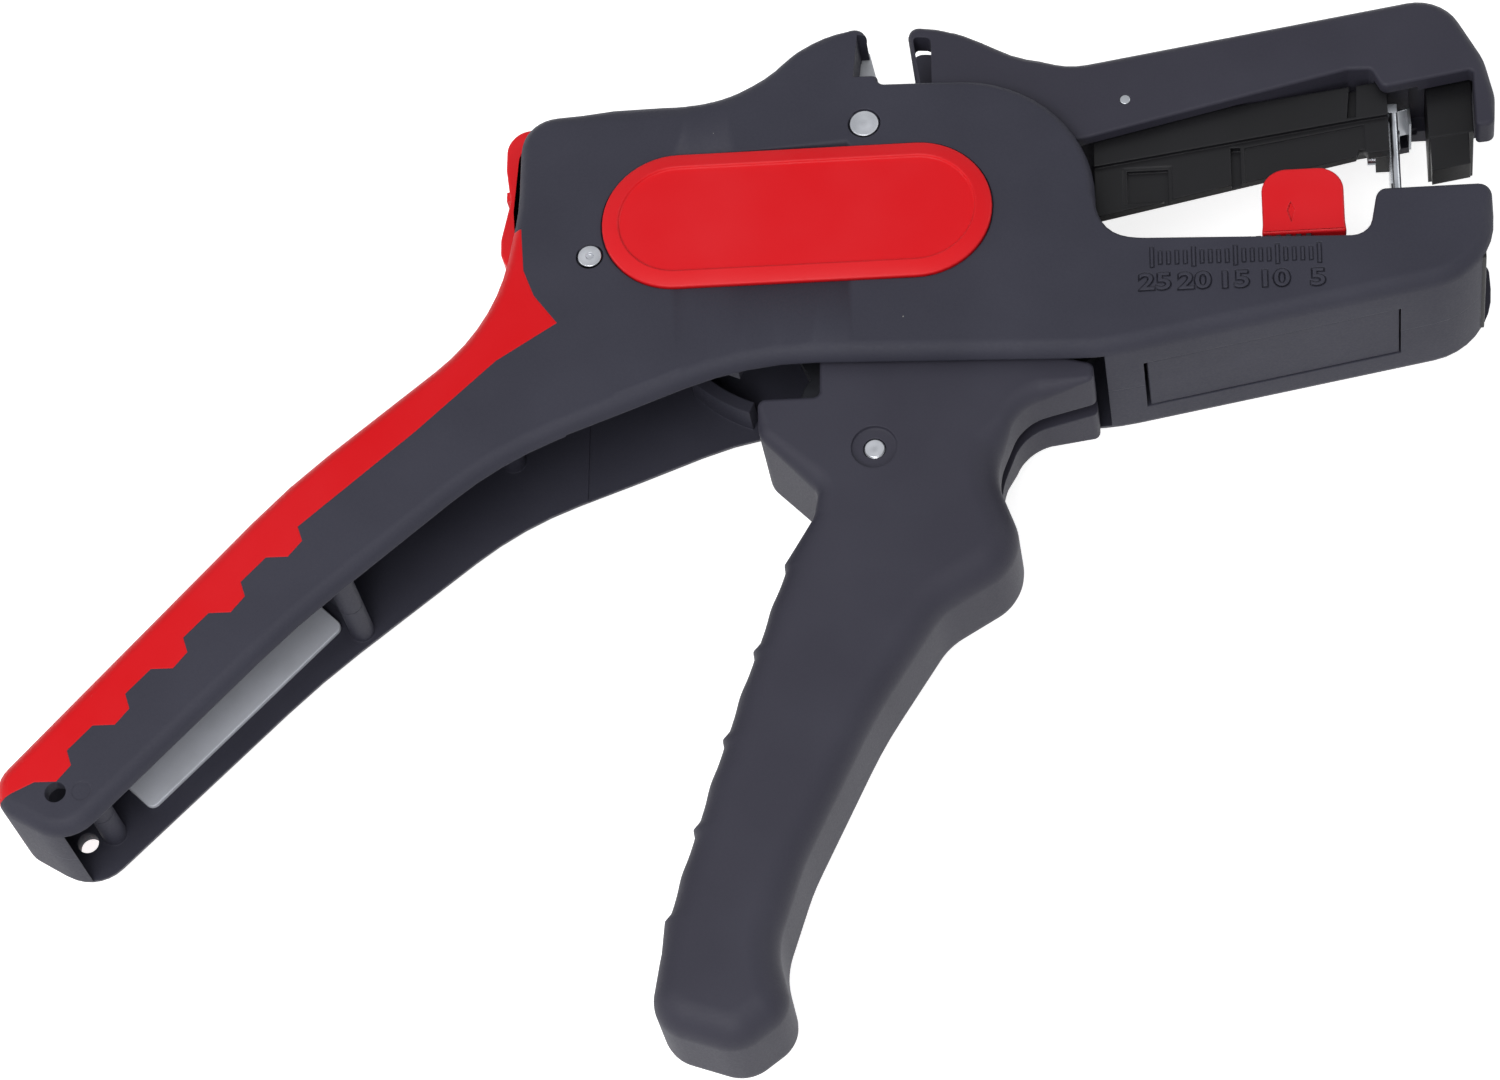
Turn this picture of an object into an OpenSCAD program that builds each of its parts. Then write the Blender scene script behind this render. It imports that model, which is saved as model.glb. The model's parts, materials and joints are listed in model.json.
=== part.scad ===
// Pistol-shaped, self-adjusting wire stripping pliers with a sliding length stop.
// Lengths are in millimetres. X runs towards the tip of the jaws, Y towards the cutter
// hump and Z towards the side that carries the scale. The origin lies on the face that
// the pliers rest on, straight below the pivot of the trigger.

/* [Housing] */
// Half of the thickness of the housing
body_half = 11; // [10:0.1:13]
// Half of the thickness of the handle at its far end
handle_half = 8.6; // [8.4:0.1:9.6]
// Thickness of the moulded walls
wall = 2; // [1.6:0.1:2.4]
// Rounding of the housing's outer edges
edge_round = 2.1; // [1.2:0.1:2.3]
// Distance from the trigger's pivot to the tip of the lower jaw
nose_x = 83.9; // [82:0.5:90]
// Height of the lower jaw's cheeks beside the clamp, below the pivot when negative
cheek_y = -0.1; // [-1:0.1:1]
// Place of the rear end of these cheeks
cheek_x = 70.3; // [69.5:0.1:71.5]
// Height of the straight upper edge that the scale stands under
saddle_y = -5.8; // [-6:0.1:-5.6]
// Lowest height of the lower jaw at its tip
nose_low_y = -11.9; // [-13:0.1:-11]
// Height of the belly where the trigger bay ends
belly_y = -20.7; // [-23:0.1:-20]
// Place of the belly
belly_x = 37; // [36:0.5:39]
// Front end of the brow that covers the jaw's root
brow_x = 36.4; // [35:0.2:37]
// Radius of the brow
brow_round = 17.2; // [14:0.2:17.4]
// Height of the brow's top edge
ledge_y = 18.3; // [17.8:0.1:20]
// Place of the hump's front face
hump_x = 8.2; // [7.6:0.1:8.8]
// Height of the hump
hump_y = 26.9; // [26:0.1:29]
// Height of the flat back of the housing
top_y = 16.7; // [16:0.1:18]
// Distance from the trigger's pivot to the rear face
rear_x = 34.8; // [34:0.1:37]

/* [Handle] */
// How far the handle's end lies behind the pivot
handle_reach = 97.5; // [95:0.1:99]
// How far the handle's end lies below the pivot
handle_drop = 71.7; // [70:0.1:73]
// Place of the web between thumb and palm, behind the pivot
neck_x = 37.5; // [37:0.1:39]
// Height of this web, below the pivot
neck_y = 12.4; // [11:0.1:14]
// Place of the palm swell on the handle's back, behind the pivot
palm_x = 62; // [60:0.5:64]
// Height of the palm swell, below the pivot
palm_y = 32.6; // [31:0.2:34]
// Width of the handle at its end
handle_end_w = 13.2; // [11:0.1:14]
// Depth of the palm pad into the handle's side faces
grip_t = 1.2; // [0.8:0.1:1.4]
// Depth of the palm pad on the handle's back
grip_back_t = 1.8; // [1.4:0.1:2]
// Spacing of the teeth along the palm pad's inner edge
tooth_pitch = 9.6; // [8:0.2:12]
// Number of these teeth
tooth_count = 5; // [3:1:5]
// Depth of these teeth
tooth_depth = 2; // [1.2:0.1:2.6]
// Radius of the lanyard hole
lanyard_r = 1.3; // [1:0.05:1.6]

/* [Label plates and scale] */
// Length of the oval plates over the trigger's pivot
plate_len = 46.2; // [40:0.2:47]
// Width of these plates
plate_w = 17.8; // [15:0.2:18.5]
// How far the plates stand proud of the housing
plate_proud = 0.8; // [0.4:0.1:1.2]
// Width of the plates' raised rim
plate_rim = 1.8; // [1.2:0.1:2.4]
// Depth of the plates' field below the rim
plate_field = 0.6; // [0.3:0.1:1]

/* [Pins] */
// Radius of the pin that the upper jaw turns on
jaw_pin_r = 1.7; // [1.5:0.05:2]
// Place of this pin before the trigger's pivot
jaw_pin_x = 8.3; // [8:0.1:8.6]
// Height of this pin above the trigger's pivot
jaw_pin_y = 12.6; // [12.4:0.1:13]
// Radius of the trigger's pivot pin
pivot_r = 2; // [1.8:0.05:2.2]
// Radius of the housing pin at the rear
rear_pin_r = 1.4; // [1.2:0.05:1.6]
// Radius of the link pin in the trigger
link_pin_r = 1.35; // [1.2:0.05:1.5]
// Distance of the link pin from the trigger's pivot
link_arm = 32; // [31.5:0.1:32.5]
// Lean of the link pin ahead of straight down, with the trigger at rest
link_lean = 16.8; // [16:0.2:17.4]
// Running clearance around a pin
pin_gap = 0.03; // [0.02:0.01:0.06]
// Clearance beside sliding and turning faces
side_gap = 0.3; // [0.2:0.05:0.35]

/* [Motion] */
// Travel of the trigger
trigger_travel = 28; // [20:1:29]
// Turn of the upper jaw while it closes
jaw_travel = 7.5; // [6:0.1:7.6]

/* [Trigger] */
// Half of the trigger's thickness
trigger_half = 8; // [7.6:0.1:8.4]
// Rounding of the trigger's edges
trigger_round = 3.9; // [2.5:0.1:4]
// How far the trigger's foot lies below the pivot
trigger_drop = 105.6; // [104:0.2:108]
// Height of the finger ribs
rib_h = 0.45; // [0.2:0.05:0.7]
// Number of finger ribs
rib_count = 5; // [3:1:7]
// Thickness of the stamped lever plate
lever_t = 2; // [1.6:0.1:2.1]
// Radius of the lever plate's hub
hub_r = 7; // [6:0.2:7.4]
// Radius of the cam roller
roller_r = 2.2; // [1.8:0.05:2.4]
// Place of the cam roller behind the pivot
roller_x = 14; // [13.4:0.1:14.4]
// Height of the cam roller above the pivot
roller_y = 1.5; // [1:0.1:2]

/* [Jaws and carriages] */
// Half of the thickness of the upper jaw
jaw_half = 8.7; // [8.3:0.1:8.7]
// Tip of the upper jaw, before the pivot
jaw_tip_x = 85.2; // [84:0.2:88]
// Thickness of the upper jaw's cheeks
jaw_cheek = 1.7; // [1.3:0.1:1.7]
// Half of the width of the upper carriage
carriage_half = 6.7; // [6:0.1:6.75]
// Rear end of the upper carriage
carriage_rear = 36.2; // [35.5:0.1:38]
// Front end of both carriages
carriage_front = 72.2; // [71.6:0.1:72.4]
// Thickness of the blades
blade_t = 0.8; // [0.5:0.1:1]
// Half of the width of the blades
blade_half = 3.8; // [3:0.1:3.9]
// Half of the width of the lower carriage
lower_half = 8.5; // [8.2:0.1:8.6]
// Height of the lower carriage
lower_h = 5.6; // [5:0.1:5.8]
// Rear end of the lower carriage
lower_rear = 39; // [38.5:0.1:42]
// Width of the length stop's tab
stop_w = 9.9; // [8:0.1:11]
// Thickness of the tab
stop_t = 1.6; // [1.2:0.1:1.7]
// Height of the tab's top
stop_top = 4.4; // [3:0.1:4.6]
// Scale reading that the stop stands at
stop_reading = 8.4; // [6:0.2:20]
// Spacing of the rack's teeth
rack_pitch = 1.2; // [1:0.1:2]

/* [Hidden] */
$fn = 48;

charcoal = "#35353b";
soft_black = "#2b2b30";
signal_red = "#d8222b";
steel = "#b9bcc0";
cut = 0.1;
far = 200;
rest_z = body_half + plate_proud;
inner = body_half - wall;
split_x = -22;
handle_slope = (body_half - handle_half) / (handle_reach + split_x);
jaw_pin = [jaw_pin_x, jaw_pin_y];
link_pin_at = link_arm * [sin(link_lean), -cos(link_lean)];
plate_seat = 0.9;
plate_t = plate_proud + plate_seat;

// Outline tools. A corner is [x, y, fillet radius, edge rounding], and a finished path
// holds [x, y, edge rounding] for each of its points, counter-clockwise.
function unit(v) = v / norm(v);
function left(v) = [-v[1], v[0]];
function flat(v) = [v[0], v[1]];
function spin(v, a) = [v[0] * cos(a) - v[1] * sin(a), v[0] * sin(a) + v[1] * cos(a)];
function fine_step(r) = r < 3 ? 18 : r < 12 ? 11 : 6;
function fillet(a, b, c) =
    let (
        u = unit(flat(a) - flat(b)),
        v = unit(flat(c) - flat(b)),
        half = acos(max(-1, min(1, u * v))) / 2
    )
    b[2] <= 0 || half > 89.5 ? [[b[0], b[1], b[3]]] :
    let (
        middle = flat(b) + unit(u + v) * b[2] / sin(half),
        start = flat(b) + u * b[2] / tan(half) - middle,
        side = u[0] * v[1] - u[1] * v[0] > 0 ? -1 : 1,
        sweep = side * (180 - 2 * half),
        n = max(2, ceil(abs(sweep) / fine_step(b[2])))
    )
    [for (i = [0:n]) let (p = middle + spin(start, sweep * i / n)) [p[0], p[1], b[3]]];
function open_path(c) = [
    for (i = [0:len(c) - 1])
        each (i == 0 || i == len(c) - 1) ? [[c[i][0], c[i][1], c[i][3]]]
            : fillet(c[i - 1], c[i], c[i + 1])
];
function loop_path(c) = [
    for (i = [0:len(c) - 1]) each fillet(c[(i + len(c) - 1) % len(c)], c[i], c[(i + 1) % len(c)])
];
function miter(p, i) =
    let (
        n = len(p),
        a = left(unit(flat(p[i]) - flat(p[(i + n - 1) % n]))),
        b = left(unit(flat(p[(i + 1) % n]) - flat(p[i])))
    )
    (a + b) / (1 + a * b);
function shrink(p, d) = [for (i = [0:len(p) - 1]) flat(p[i]) + d * miter(p, i)];
function flats(p) = [for (q = p) flat(q)];

// A plate with rounded edges: each ring is the outline moved inwards and up. The caps
// are index lists, so that a face with a bend in it can be given as two flat ones.
module ring_solid(path, rings, caps, lid) {
    n = len(path);
    lean = [for (i = [0:n - 1]) miter(path, i)];
    points = [
        for (r = rings) for (i = [0:n - 1])
            let (q = flat(path[i]) + lean[i] * path[i][2] * r[0])
            [q[0], q[1], r[2] * (lid(q[0]) - path[i][2] * r[1]) + r[3]]
    ];
    last = (len(rings) - 1) * n;
    walls = [
        for (k = [0:len(rings) - 2]) for (i = [0:n - 1])
            let (a = k * n + i, b = k * n + (i + 1) % n)
            each [[a, a + n, b + n], [a, b + n, b]]
    ];
    under = [for (c = caps) [for (i = c) i]];
    over = [for (c = caps) [for (i = [len(c) - 1:-1:0]) last + c[i]]];
    polyhedron(points, concat(under, walls, over), convexity = 8);
}
// The last ring stands a little too high, and a straight cut then leaves one flat face
skim = 0.06;
function up_rings(n) = [
    for (k = [0:n]) [1 - cos(90 * k / n), 1 - sin(90 * k / n), 1, k == n ? skim : 0]
];
function down_rings(n) = [
    for (k = [n:-1:0]) [1 - cos(90 * k / n), 1 - sin(90 * k / n), -1, k == n ? -skim : 0]
];
module half_slab(path, lid, caps, n = 3) {
    difference() {
        ring_solid(path, concat([[0, 0, 0, -1]], up_rings(n)), caps, lid);
        block([-far, -far, -2], [far, far, 0]);
        above_slope(0);
    }
}
module full_slab(path, half, n = 3) {
    difference() {
        ring_solid(path, concat(down_rings(n), up_rings(n)), [[for (i = [0:len(path) - 1]) i]],
            function (x) half);
        for (side = [0, 1]) mirror([0, 0, side]) block([-far, -far, half], [far, far, half + 1]);
    }
}
module slot_shape(a, b, r) {
    hull() {
        translate(a) circle(r);
        translate(b) circle(r);
    }
}
module bore(at, r, low = -far, high = far) {
    translate([at[0], at[1], low]) cylinder(r = r, h = high - low);
}
module prism(points, low, high) {
    translate([0, 0, low]) linear_extrude(high - low) polygon(points);
}
module block(low, high) {
    translate(low) cube(high - low);
}
module placed() {
    translate([0, 0, rest_z]) children();
}

// Outline of the housing
slope_low = [-6, -19.2];
slope_bend = [-36, -31];
slope_grip = [-60, -51.2];
function on_line(a, b, x) = [x, a[1] + (b[1] - a[1]) * (x - a[0]) / (b[0] - a[0])];
split_low = on_line(slope_low, slope_bend, split_x + edge_round * 0.366);
body_corners = [
    [split_low[0], split_low[1], 0, edge_round],
    [slope_low[0], slope_low[1], 40, edge_round],
    [belly_x, belly_y, 30, edge_round],
    [nose_x + 0.3, nose_low_y, 9, edge_round],
    [nose_x, cheek_y, 1.6, 0.8],
    [cheek_x, cheek_y, 1.2, 0.5],
    [cheek_x - 1.2, saddle_y, 2.5, 0.4],
    [brow_x, saddle_y, 6, 0.6],
    [brow_x, ledge_y, brow_round, 1.2],
    [hump_x + 1.9, ledge_y, 0.8, 0.7],
    [hump_x, hump_y, 1.6, 1],
    [-0.9, hump_y - 2.3, 8, edge_round],
    [-11, top_y + 0.2, 13, edge_round],
    [split_x, top_y, 0, edge_round]
];
// Lean of the end face from straight across
end_lean = 30.4;
handle_end = [-handle_reach, -handle_drop];
handle_foot = handle_end + handle_end_w * [cos(end_lean), -sin(end_lean)];
handle_corners = [
    [split_x, top_y, 0, edge_round],
    [-rear_x, top_y, 4.6, edge_round],
    [-rear_x, 4, 30, edge_round],
    [-neck_x, -neck_y, 24, edge_round],
    [-palm_x, -palm_y, 90, edge_round],
    [-handle_reach, -handle_drop, 4, edge_round],
    [handle_foot[0], handle_foot[1], 5.5, edge_round],
    [slope_grip[0], slope_grip[1], 110, edge_round],
    [slope_bend[0], slope_bend[1], 45, edge_round],
    [split_low[0], split_low[1], 0, edge_round]
];
body_path = open_path(body_corners);
handle_path = open_path(handle_corners);
shell_path = concat(body_path, [for (i = [1:len(handle_path) - 2]) handle_path[i]]);
shell_caps = [
    [for (i = [0:len(body_path) - 1]) i],
    [each [for (i = [len(body_path) - 1:len(shell_path) - 1]) i], 0]
];
lid_height = function (x) body_half - max(0, split_x - x) * handle_slope;

// Everything above a plane that leans with the handle's side face
module above_slope(depth) {
    prism_points = [
        [split_x, body_half - depth],
        [far, body_half - depth],
        [far, far],
        [-far, far],
        [-far, body_half - depth - (split_x + far) * handle_slope]
    ];
    translate([0, far / 2, 0]) rotate([90, 0, 0]) linear_extrude(2 * far) polygon(prism_points);
}

// Palm pad: its inner edge is stepped like a row of teeth
pad_edge_from = [-palm_x + 1.9, -palm_y - 6.2];
pad_edge_to = handle_end + [3.8, -2.4];
pad_edge_dir = unit(pad_edge_to - pad_edge_from);
pad_pitch = min(tooth_pitch, (norm(pad_edge_to - pad_edge_from) - 0.7) / tooth_count);
function pad_edge(s, d) = pad_edge_from + s * pad_edge_dir + d * left(pad_edge_dir);
pad_zone = [
    [-rear_x - 9, 0.4],
    [-rear_x + 0.7, 0.4],
    [-33.6, -5.6],
    [-32.2, -9.2],
    [-29.2, -13.2],
    [-36.6, -17.9],
    [-46.2, -26.9],
    for (k = [0:tooth_count - 1]) each [
        pad_edge(k * pad_pitch, 0),
        pad_edge((k + 0.1) * pad_pitch, tooth_depth * 0.9),
        pad_edge((k + 0.37) * pad_pitch, tooth_depth),
        pad_edge((k + 0.56) * pad_pitch, 0)
    ],
    [-handle_reach + 2.2, -handle_drop - 1.2],
    [-handle_reach - 12, -handle_drop + 1.5],
    [-handle_reach - 12, -20]
];
slider_half = 6.4;
slider_travel = 4;
stem_low = 2.2;
stem_h = 5;
stem_half = 2.3;
slider_low = -3.6;
pad_back = open_path([
    [0, top_y, 0, 0],
    [-rear_x, top_y, 0, 0],
    [-rear_x, 4, 30, 0],
    [-neck_x, -neck_y, 24, 0],
    [-palm_x, -palm_y, 90, 0],
    [-handle_reach, -handle_drop, 4, 0],
    [handle_foot[0], handle_foot[1], 0, 0],
    [0, -60, 0, 0]
]);
module pad_zone_solid() {
    core = shrink(pad_back, grip_back_t);
    difference() {
        prism(pad_zone, -1, body_half + 1);
        difference() {
            prism(core, -2, body_half + 2);
            above_slope(grip_t);
        }
        block([-far, slider_low, -2], [-rear_x + 3, far, slider_half]);
    }
}

// Hollow inside the handle, open towards the trigger
channel_corners = [
    [-30, 14, 0, 0],
    [-rear_x + wall, top_y - wall, 2, 0],
    [-rear_x + wall, 4, 28, 0],
    [-neck_x + wall + 0.9, -neck_y + 0.4, 26, 0],
    [-palm_x + 2.2, -palm_y - 1.6, 88, 0],
    [-handle_reach + 5.2, -handle_drop + 1.8, 2, 0],
    [-handle_reach + 14, -handle_drop - 9, 0, 0],
    [-50, -80, 0, 0],
    [10, -60, 0, 0],
    [20, 14, 0, 0]
];
module bay_hollow() {
    // Body, from the rear wall to the root of the lower jaw
    prism([
        [split_x - 6, top_y - wall],
        [-11.5, top_y - wall],
        [-0.6, hump_y - 4.4],
        [hump_x - wall, hump_y - wall - 0.2],
        [hump_x - wall, ledge_y + 0.2],
        [hump_x + 0.2, ledge_y + 0.2],
        [hump_x + 0.2, far],
        [far, far],
        [far, lower_floor + 2],
        [belly_x, lower_floor + 2],
        [belly_x, -60],
        [split_x - 6, -60]
    ], -cut, inner);
    difference() {
        prism(flats(loop_path(channel_corners)), -cut, body_half);
        above_slope(wall);
    }
}
lower_top = saddle_y + 0.5;
lower_floor = lower_top - lower_h - 0.2;
clamp_x = 76;
clamp_top = -5.9;
cover_from = [41.5, belly_y + 1.6];
cover_to = [72.5, nose_low_y - 1.2];
cover_half = 5.6;
module jaw_hollow() {
    // Channel of the lower carriage, the well behind the cover, and the clamp's seat
    block([belly_x - 1, lower_floor, -cut], [clamp_x - 0.4, far, lower_half + side_gap]);
    prism([
        [cover_from[0], lower_floor + 1],
        [cover_from[0], -40],
        [cover_to[0], -40],
        [cover_to[0], lower_floor + 1]
    ], -cut, cover_half);
    block([clamp_x - 1, clamp_top - 3.6, -cut], [far, far, inner]);
}
module shell_half() {
    difference() {
        half_slab(shell_path, lid_height, shell_caps);
        pad_zone_solid();
        bay_hollow();
        jaw_hollow();
        slider_track();
        // Slit for the cutter in the hump's front wall
        block([hump_x - wall - 1, ledge_y - 0.6, lever_z - side_gap],
            [hump_x + 1, hump_y - wall, lever_z + lever_t + 1.2]);
        // Slot of the pull bar between the trigger bay and the jaw
        block([belly_x - 2, -16.4, -1], [cover_from[0] + 1, lower_floor + 1, 1.5]);
        translate([0, 0, body_half - plate_seat]) plate_shape(plate_t + 1);
        bore(jaw_pin, jaw_pin_r + pin_gap, -1, body_half + 1);
        bore([0, 0], pivot_r + pin_gap, -1, body_half + 1);
        bore(rear_pin_at, rear_pin_r + pin_gap, -1, body_half + 1);
        bore(lanyard_at, lanyard_r, -1, body_half + 1);
    }
    handle_ribs();
    difference() {
        union() {
            bore(rear_pin_at, rear_pin_r + 1.6, 0.05, inner + 0.5);
            bore([0, 0], 3.6, lever_z + lever_t + side_gap, inner + 0.5);
            stop_rib();
        }
        bore([0, 0], pivot_r + pin_gap, -1, body_half + 1);
        bore(rear_pin_at, rear_pin_r + pin_gap, -1, body_half + 1);
    }
}
module slider_track() {
    block([-far, slider_low, -1], [-rear_x, top_y - 4.6, slider_half]);
    block([-far, stem_low - side_gap, -1],
        [-rear_x + wall + 1, stem_low + stem_h + slider_travel + side_gap, stem_half + side_gap]);
}
rear_pin_at = [-25.4, -4.2];
lanyard_at = [-handle_reach + 9.9, -handle_drop - 0.2];
lever_z = 2.2;

// Cross ribs of the handle, each ending in a round post
neck = [-neck_x, -neck_y];
palm = [-palm_x, -palm_y];
rib_stations = [neck + [0.1, -9.6], palm + [6.6, -12], handle_end + [13.1, 0.9]];
rib_dir = unit([-4.6, 5.4]);
rib_post_r = 1.5;
rib_half = 0.5;
function line_gap(p, a, b) = abs(left(unit(b - a)) * (p - a));
module handle_ribs() {
    side = rib_half * [1, 1];
    for (p = rib_stations) {
        gap = min(line_gap(p, neck, palm), line_gap(p, palm, handle_end));
        back = p + (gap - grip_back_t - 0.5) * rib_dir;
        difference() {
            translate([0, 0, 0.05]) linear_extrude(body_half) {
                translate(p) circle(rib_post_r);
                polygon([p + side, back + side, back - side, p - side]);
            }
            above_slope(wall - 0.6);
        }
    }
}
module stop_rib() {
    // Curved rib that ends the trigger's travel
    low = lever_z + lever_t + side_gap;
    last = 277.9 - trigger_travel - 1.6;
    translate([0, 0, low]) rotate([0, 0, last - 26]) rotate_extrude(angle = 26)
        translate([18.6, 0]) square([1.6, inner - low + 0.2]);
}
module plate_shape(h, inset = 0) {
    run = (plate_len - plate_w) / 2;
    r = plate_w / 2 - inset;
    for (s = [-1, 1]) translate([s * run, 0, 0]) cylinder(r = r, h = h);
    block([-run, -r, 0], [run, r, h]);
}
module near_shell() {
    color(charcoal) placed() shell_half();
}
module far_shell() {
    color(charcoal) placed() mirror([0, 0, 1]) shell_half();
}
module palm_pad() {
    color(signal_red) placed() {
        for (m = [0, 1]) mirror([0, 0, m]) intersection() {
            half_slab(shell_path, lid_height, shell_caps);
            pad_zone_solid();
        }
    }
}
module oval_plate() {
    translate([0, 0, body_half + plate_proud - plate_t]) plate_shape(plate_t);
}
module near_plate() {
    color(signal_red) placed() difference() {
        oval_plate();
        translate([0, 0, body_half + plate_proud - plate_field]) plate_shape(plate_field + 1, plate_rim);
    }
}
module far_plate() {
    color(signal_red) placed() mirror([0, 0, 1]) oval_plate();
}
module cross_pin(at, r, half) {
    bore(at, r, -half, half);
}
module jaw_pivot_pin() {
    color(steel) placed() cross_pin(jaw_pin, jaw_pin_r, body_half);
}
module rear_pin() {
    color(steel) placed() difference() {
        cross_pin(rear_pin_at, rear_pin_r, body_half);
        for (s = [-1, 1])
            translate([rear_pin_at[0], rear_pin_at[1], s * body_half]) sphere(r = 0.5, $fn = 24);
    }
}
module trigger_pivot_pin() {
    color(steel) placed() cross_pin([0, 0], pivot_r, body_half - plate_seat - 0.05);
}
module handle_plate() {
    start = handle_end + [14.7, 6.4];
    along = unit(unit(slope_grip - handle_foot) + unit(palm - handle_end));
    run = norm(rib_stations[1] - rib_stations[2]) - 6.5;
    corners = [for (c = [[0, -4], [run, -4], [run, 2.6], [0, 2.6]])
        let (p = start + c[0] * along + c[1] * left(along)) [p[0], p[1], 1, 0]];
    color("#9aa0a8") placed() mirror([0, 0, 1]) intersection() {
        prism(flats(loop_path(corners)), 0, body_half);
        above_slope(wall + 0.8);
        difference() {
            block([-far, -far, 0], [far, far, body_half]);
            above_slope(wall);
        }
    }
}
module lower_clamp() {
    depth = 3.5;
    teeth = 5;
    run = nose_x - 1 - clamp_x;
    pitch = run / teeth;
    color("#26262a") placed() prism([
        [clamp_x + run, clamp_top - depth],
        [clamp_x + run, clamp_top],
        for (k = [teeth - 1:-1:0]) each [
            [clamp_x + (k + 0.5) * pitch, clamp_top - 0.5],
            [clamp_x + k * pitch, clamp_top]
        ],
        [clamp_x, clamp_top - depth]
    ], -inner + 0.1, inner - 0.1);
}
module access_cover() {
    t = 1.4;
    dir = unit(cover_to - cover_from);
    up = left(dir);
    a = on_line([belly_x, belly_y], [nose_x, nose_low_y], cover_from[0] + 0.5) + 0.1 * up;
    b = on_line([belly_x, belly_y], [nose_x, nose_low_y], cover_to[0] - 0.15) + 0.1 * up;
    color("#303036") placed()
        prism([a, b, b + t * up, a + t * up], -cover_half + 0.15, cover_half - 0.15);
}
module return_spring() {
    wire_r = 0.6;
    coil_r = 4.9;
    turns = 3;
    n = 14;
    low = -inner + 0.8;
    steps = turns * n;
    ring = function (k) [for (j = [0:7])
        let (a = 360 * k / n, r = coil_r + wire_r * cos(45 * j))
        [r * cos(a), r * sin(a), low + 1.3 * k / n + wire_r * sin(45 * j)]];
    points = [for (k = [0:steps]) each ring(k)];
    faces = concat(
        [[for (j = [0:7]) j]],
        [for (k = [0:steps - 1]) for (j = [0:7]) let (a = k * 8 + j, b = k * 8 + (j + 1) % 8)
            each [[a, a + 8, b + 8], [a, b + 8, b]]],
        [[for (j = [7:-1:0]) steps * 8 + j]]
    );
    color(steel) placed() polyhedron(points, faces);
}

// Trigger: the grip is moulded round the shank of a stamped lever plate
rib_from = [-1.4, -44.5];
rib_to = [-14.9, -89.4];
rib_across = -left(unit(rib_to - rib_from));
function rib_rise(turns) = rib_h * abs(2 * (turns % 1) - 1);
rib_points = [
    for (k = [0:(rib_count - 1) * 4])
        let (turns = k / 4, along = (rib_to - rib_from) / (rib_count - 1))
        let (p = rib_from + turns * along + rib_rise(turns) * rib_across)
        [p[0], p[1], trigger_round]
];
foot_y = -trigger_drop;
notch_x = 2.6;
notch_y = -23.4;
trigger_upper = open_path([
    [12, -14, 0, 0.6],
    [notch_x, -14, 1, 0.6],
    [notch_x, notch_y, 0.8, 0.6],
    [-4.9, notch_y, 1, 0.6],
    [-4.9, -28, 3, 1.6],
    [2.4, -35.6, 1.8, 2.4],
    [1.6, -38.8, 5, 3],
    [rib_from[0], rib_from[1], 0, trigger_round]
]);
trigger_lower = open_path([
    [rib_to[0], rib_to[1], 0, trigger_round],
    [-15.8, -94, 30, trigger_round],
    [-17, foot_y + 3.4, 4.8, trigger_round],
    [-6.4, foot_y - 0.2, 5, trigger_round],
    [-0.2, foot_y + 4.6, 4.2, trigger_round],
    [-2.2, -93, 10, trigger_round],
    [1, -82.4, 30, trigger_round],
    [9.3, -64.2, 60, trigger_round],
    [17.2, -51.4, 8, trigger_round],
    [27.6, -45, 6.4, trigger_round],
    [23.4, -33.6, 8, trigger_round],
    [26.6, -25.2, 6, 2.2],
    [35.6, -22.8, 0.9, 0.6],
    [35.6, -20.6, 0.9, 0.5],
    [12, -14, 0, 0.6]
]);
trigger_path = concat(
    [for (i = [1:len(trigger_upper) - 2]) trigger_upper[i]],
    rib_points,
    [for (i = [1:len(trigger_lower) - 1]) trigger_lower[i]]
);
link_recess_r = 2.8;
rivet_places = [[6.4, -20], [18, -21.4]];
module trigger_grip() {
    color(soft_black) placed() difference() {
        difference() {
            full_slab(trigger_path, trigger_half, 4);
            block([-40, -41, -1.4], [60, far, lever_z + lever_t + 0.05]);
            for (p = rivet_places) bore(p, 1.02, 0, trigger_half - 1);
        }
        bore(link_pin_at, link_pin_r + pin_gap, -trigger_half - 1, trigger_half - 0.3);
        bore(link_pin_at, link_recess_r, trigger_half - 0.6, trigger_half + 1);
    }
}
module lever_plate() {
    z = lever_z;
    slot_r = norm(jaw_pin);
    pin_angle = atan2(jaw_pin[1], jaw_pin[0]);
    color("#8d9096") placed() difference() {
        translate([0, 0, z]) linear_extrude(lever_t) {
            slot_shape([0, 0], [0, -2], hub_r);
            slot_shape([0, -2], [-roller_x, roller_y], 3.4);
            slot_shape([4, -22], link_pin_at, 4);
            slot_shape([0, -4], [8.4, -22], 5.4);
            slot_shape([10, -22], [18, -21.4], 3);
            polygon([
                [-6.6, 2], [hub_r * cos(60), hub_r * sin(60)], spin([12.6, 0], pin_angle - 3),
                each [for (a = [0:6:36]) spin([slot_r - jaw_pin_r - 0.8, 0], pin_angle + a)],
                each [for (a = [36:-6:0]) spin([slot_r + jaw_pin_r + 0.8, 0], pin_angle + a)],
                [hump_x - 0.2, ledge_y + 0.6], [hump_x - wall - 0.3, hump_y - wall - 1],
                [-0.4, hump_y - 5.4], [-6.5, 15.6]
            ]);
        }
        bore([0, 0], pivot_r + pin_gap);
        bore(link_pin_at, link_pin_r + pin_gap);
        bore([-roller_x, roller_y], 1.05);
        for (p = rivet_places) bore(p, 1.02);
        for (p = cutter_rivet_places) bore(p, 0.62);
    }
}
module lever_rivets() {
    color(steel) placed() for (p = rivet_places) bore(p, 1, lever_z - 0.5, trigger_half - 1);
}
module link_pin() {
    color(steel) placed() bore(link_pin_at, link_pin_r, -trigger_half + 0.6, trigger_half - 0.5);
}
cutter_rivet_places = [[2.6, 20.4], [5, 19]];
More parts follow.
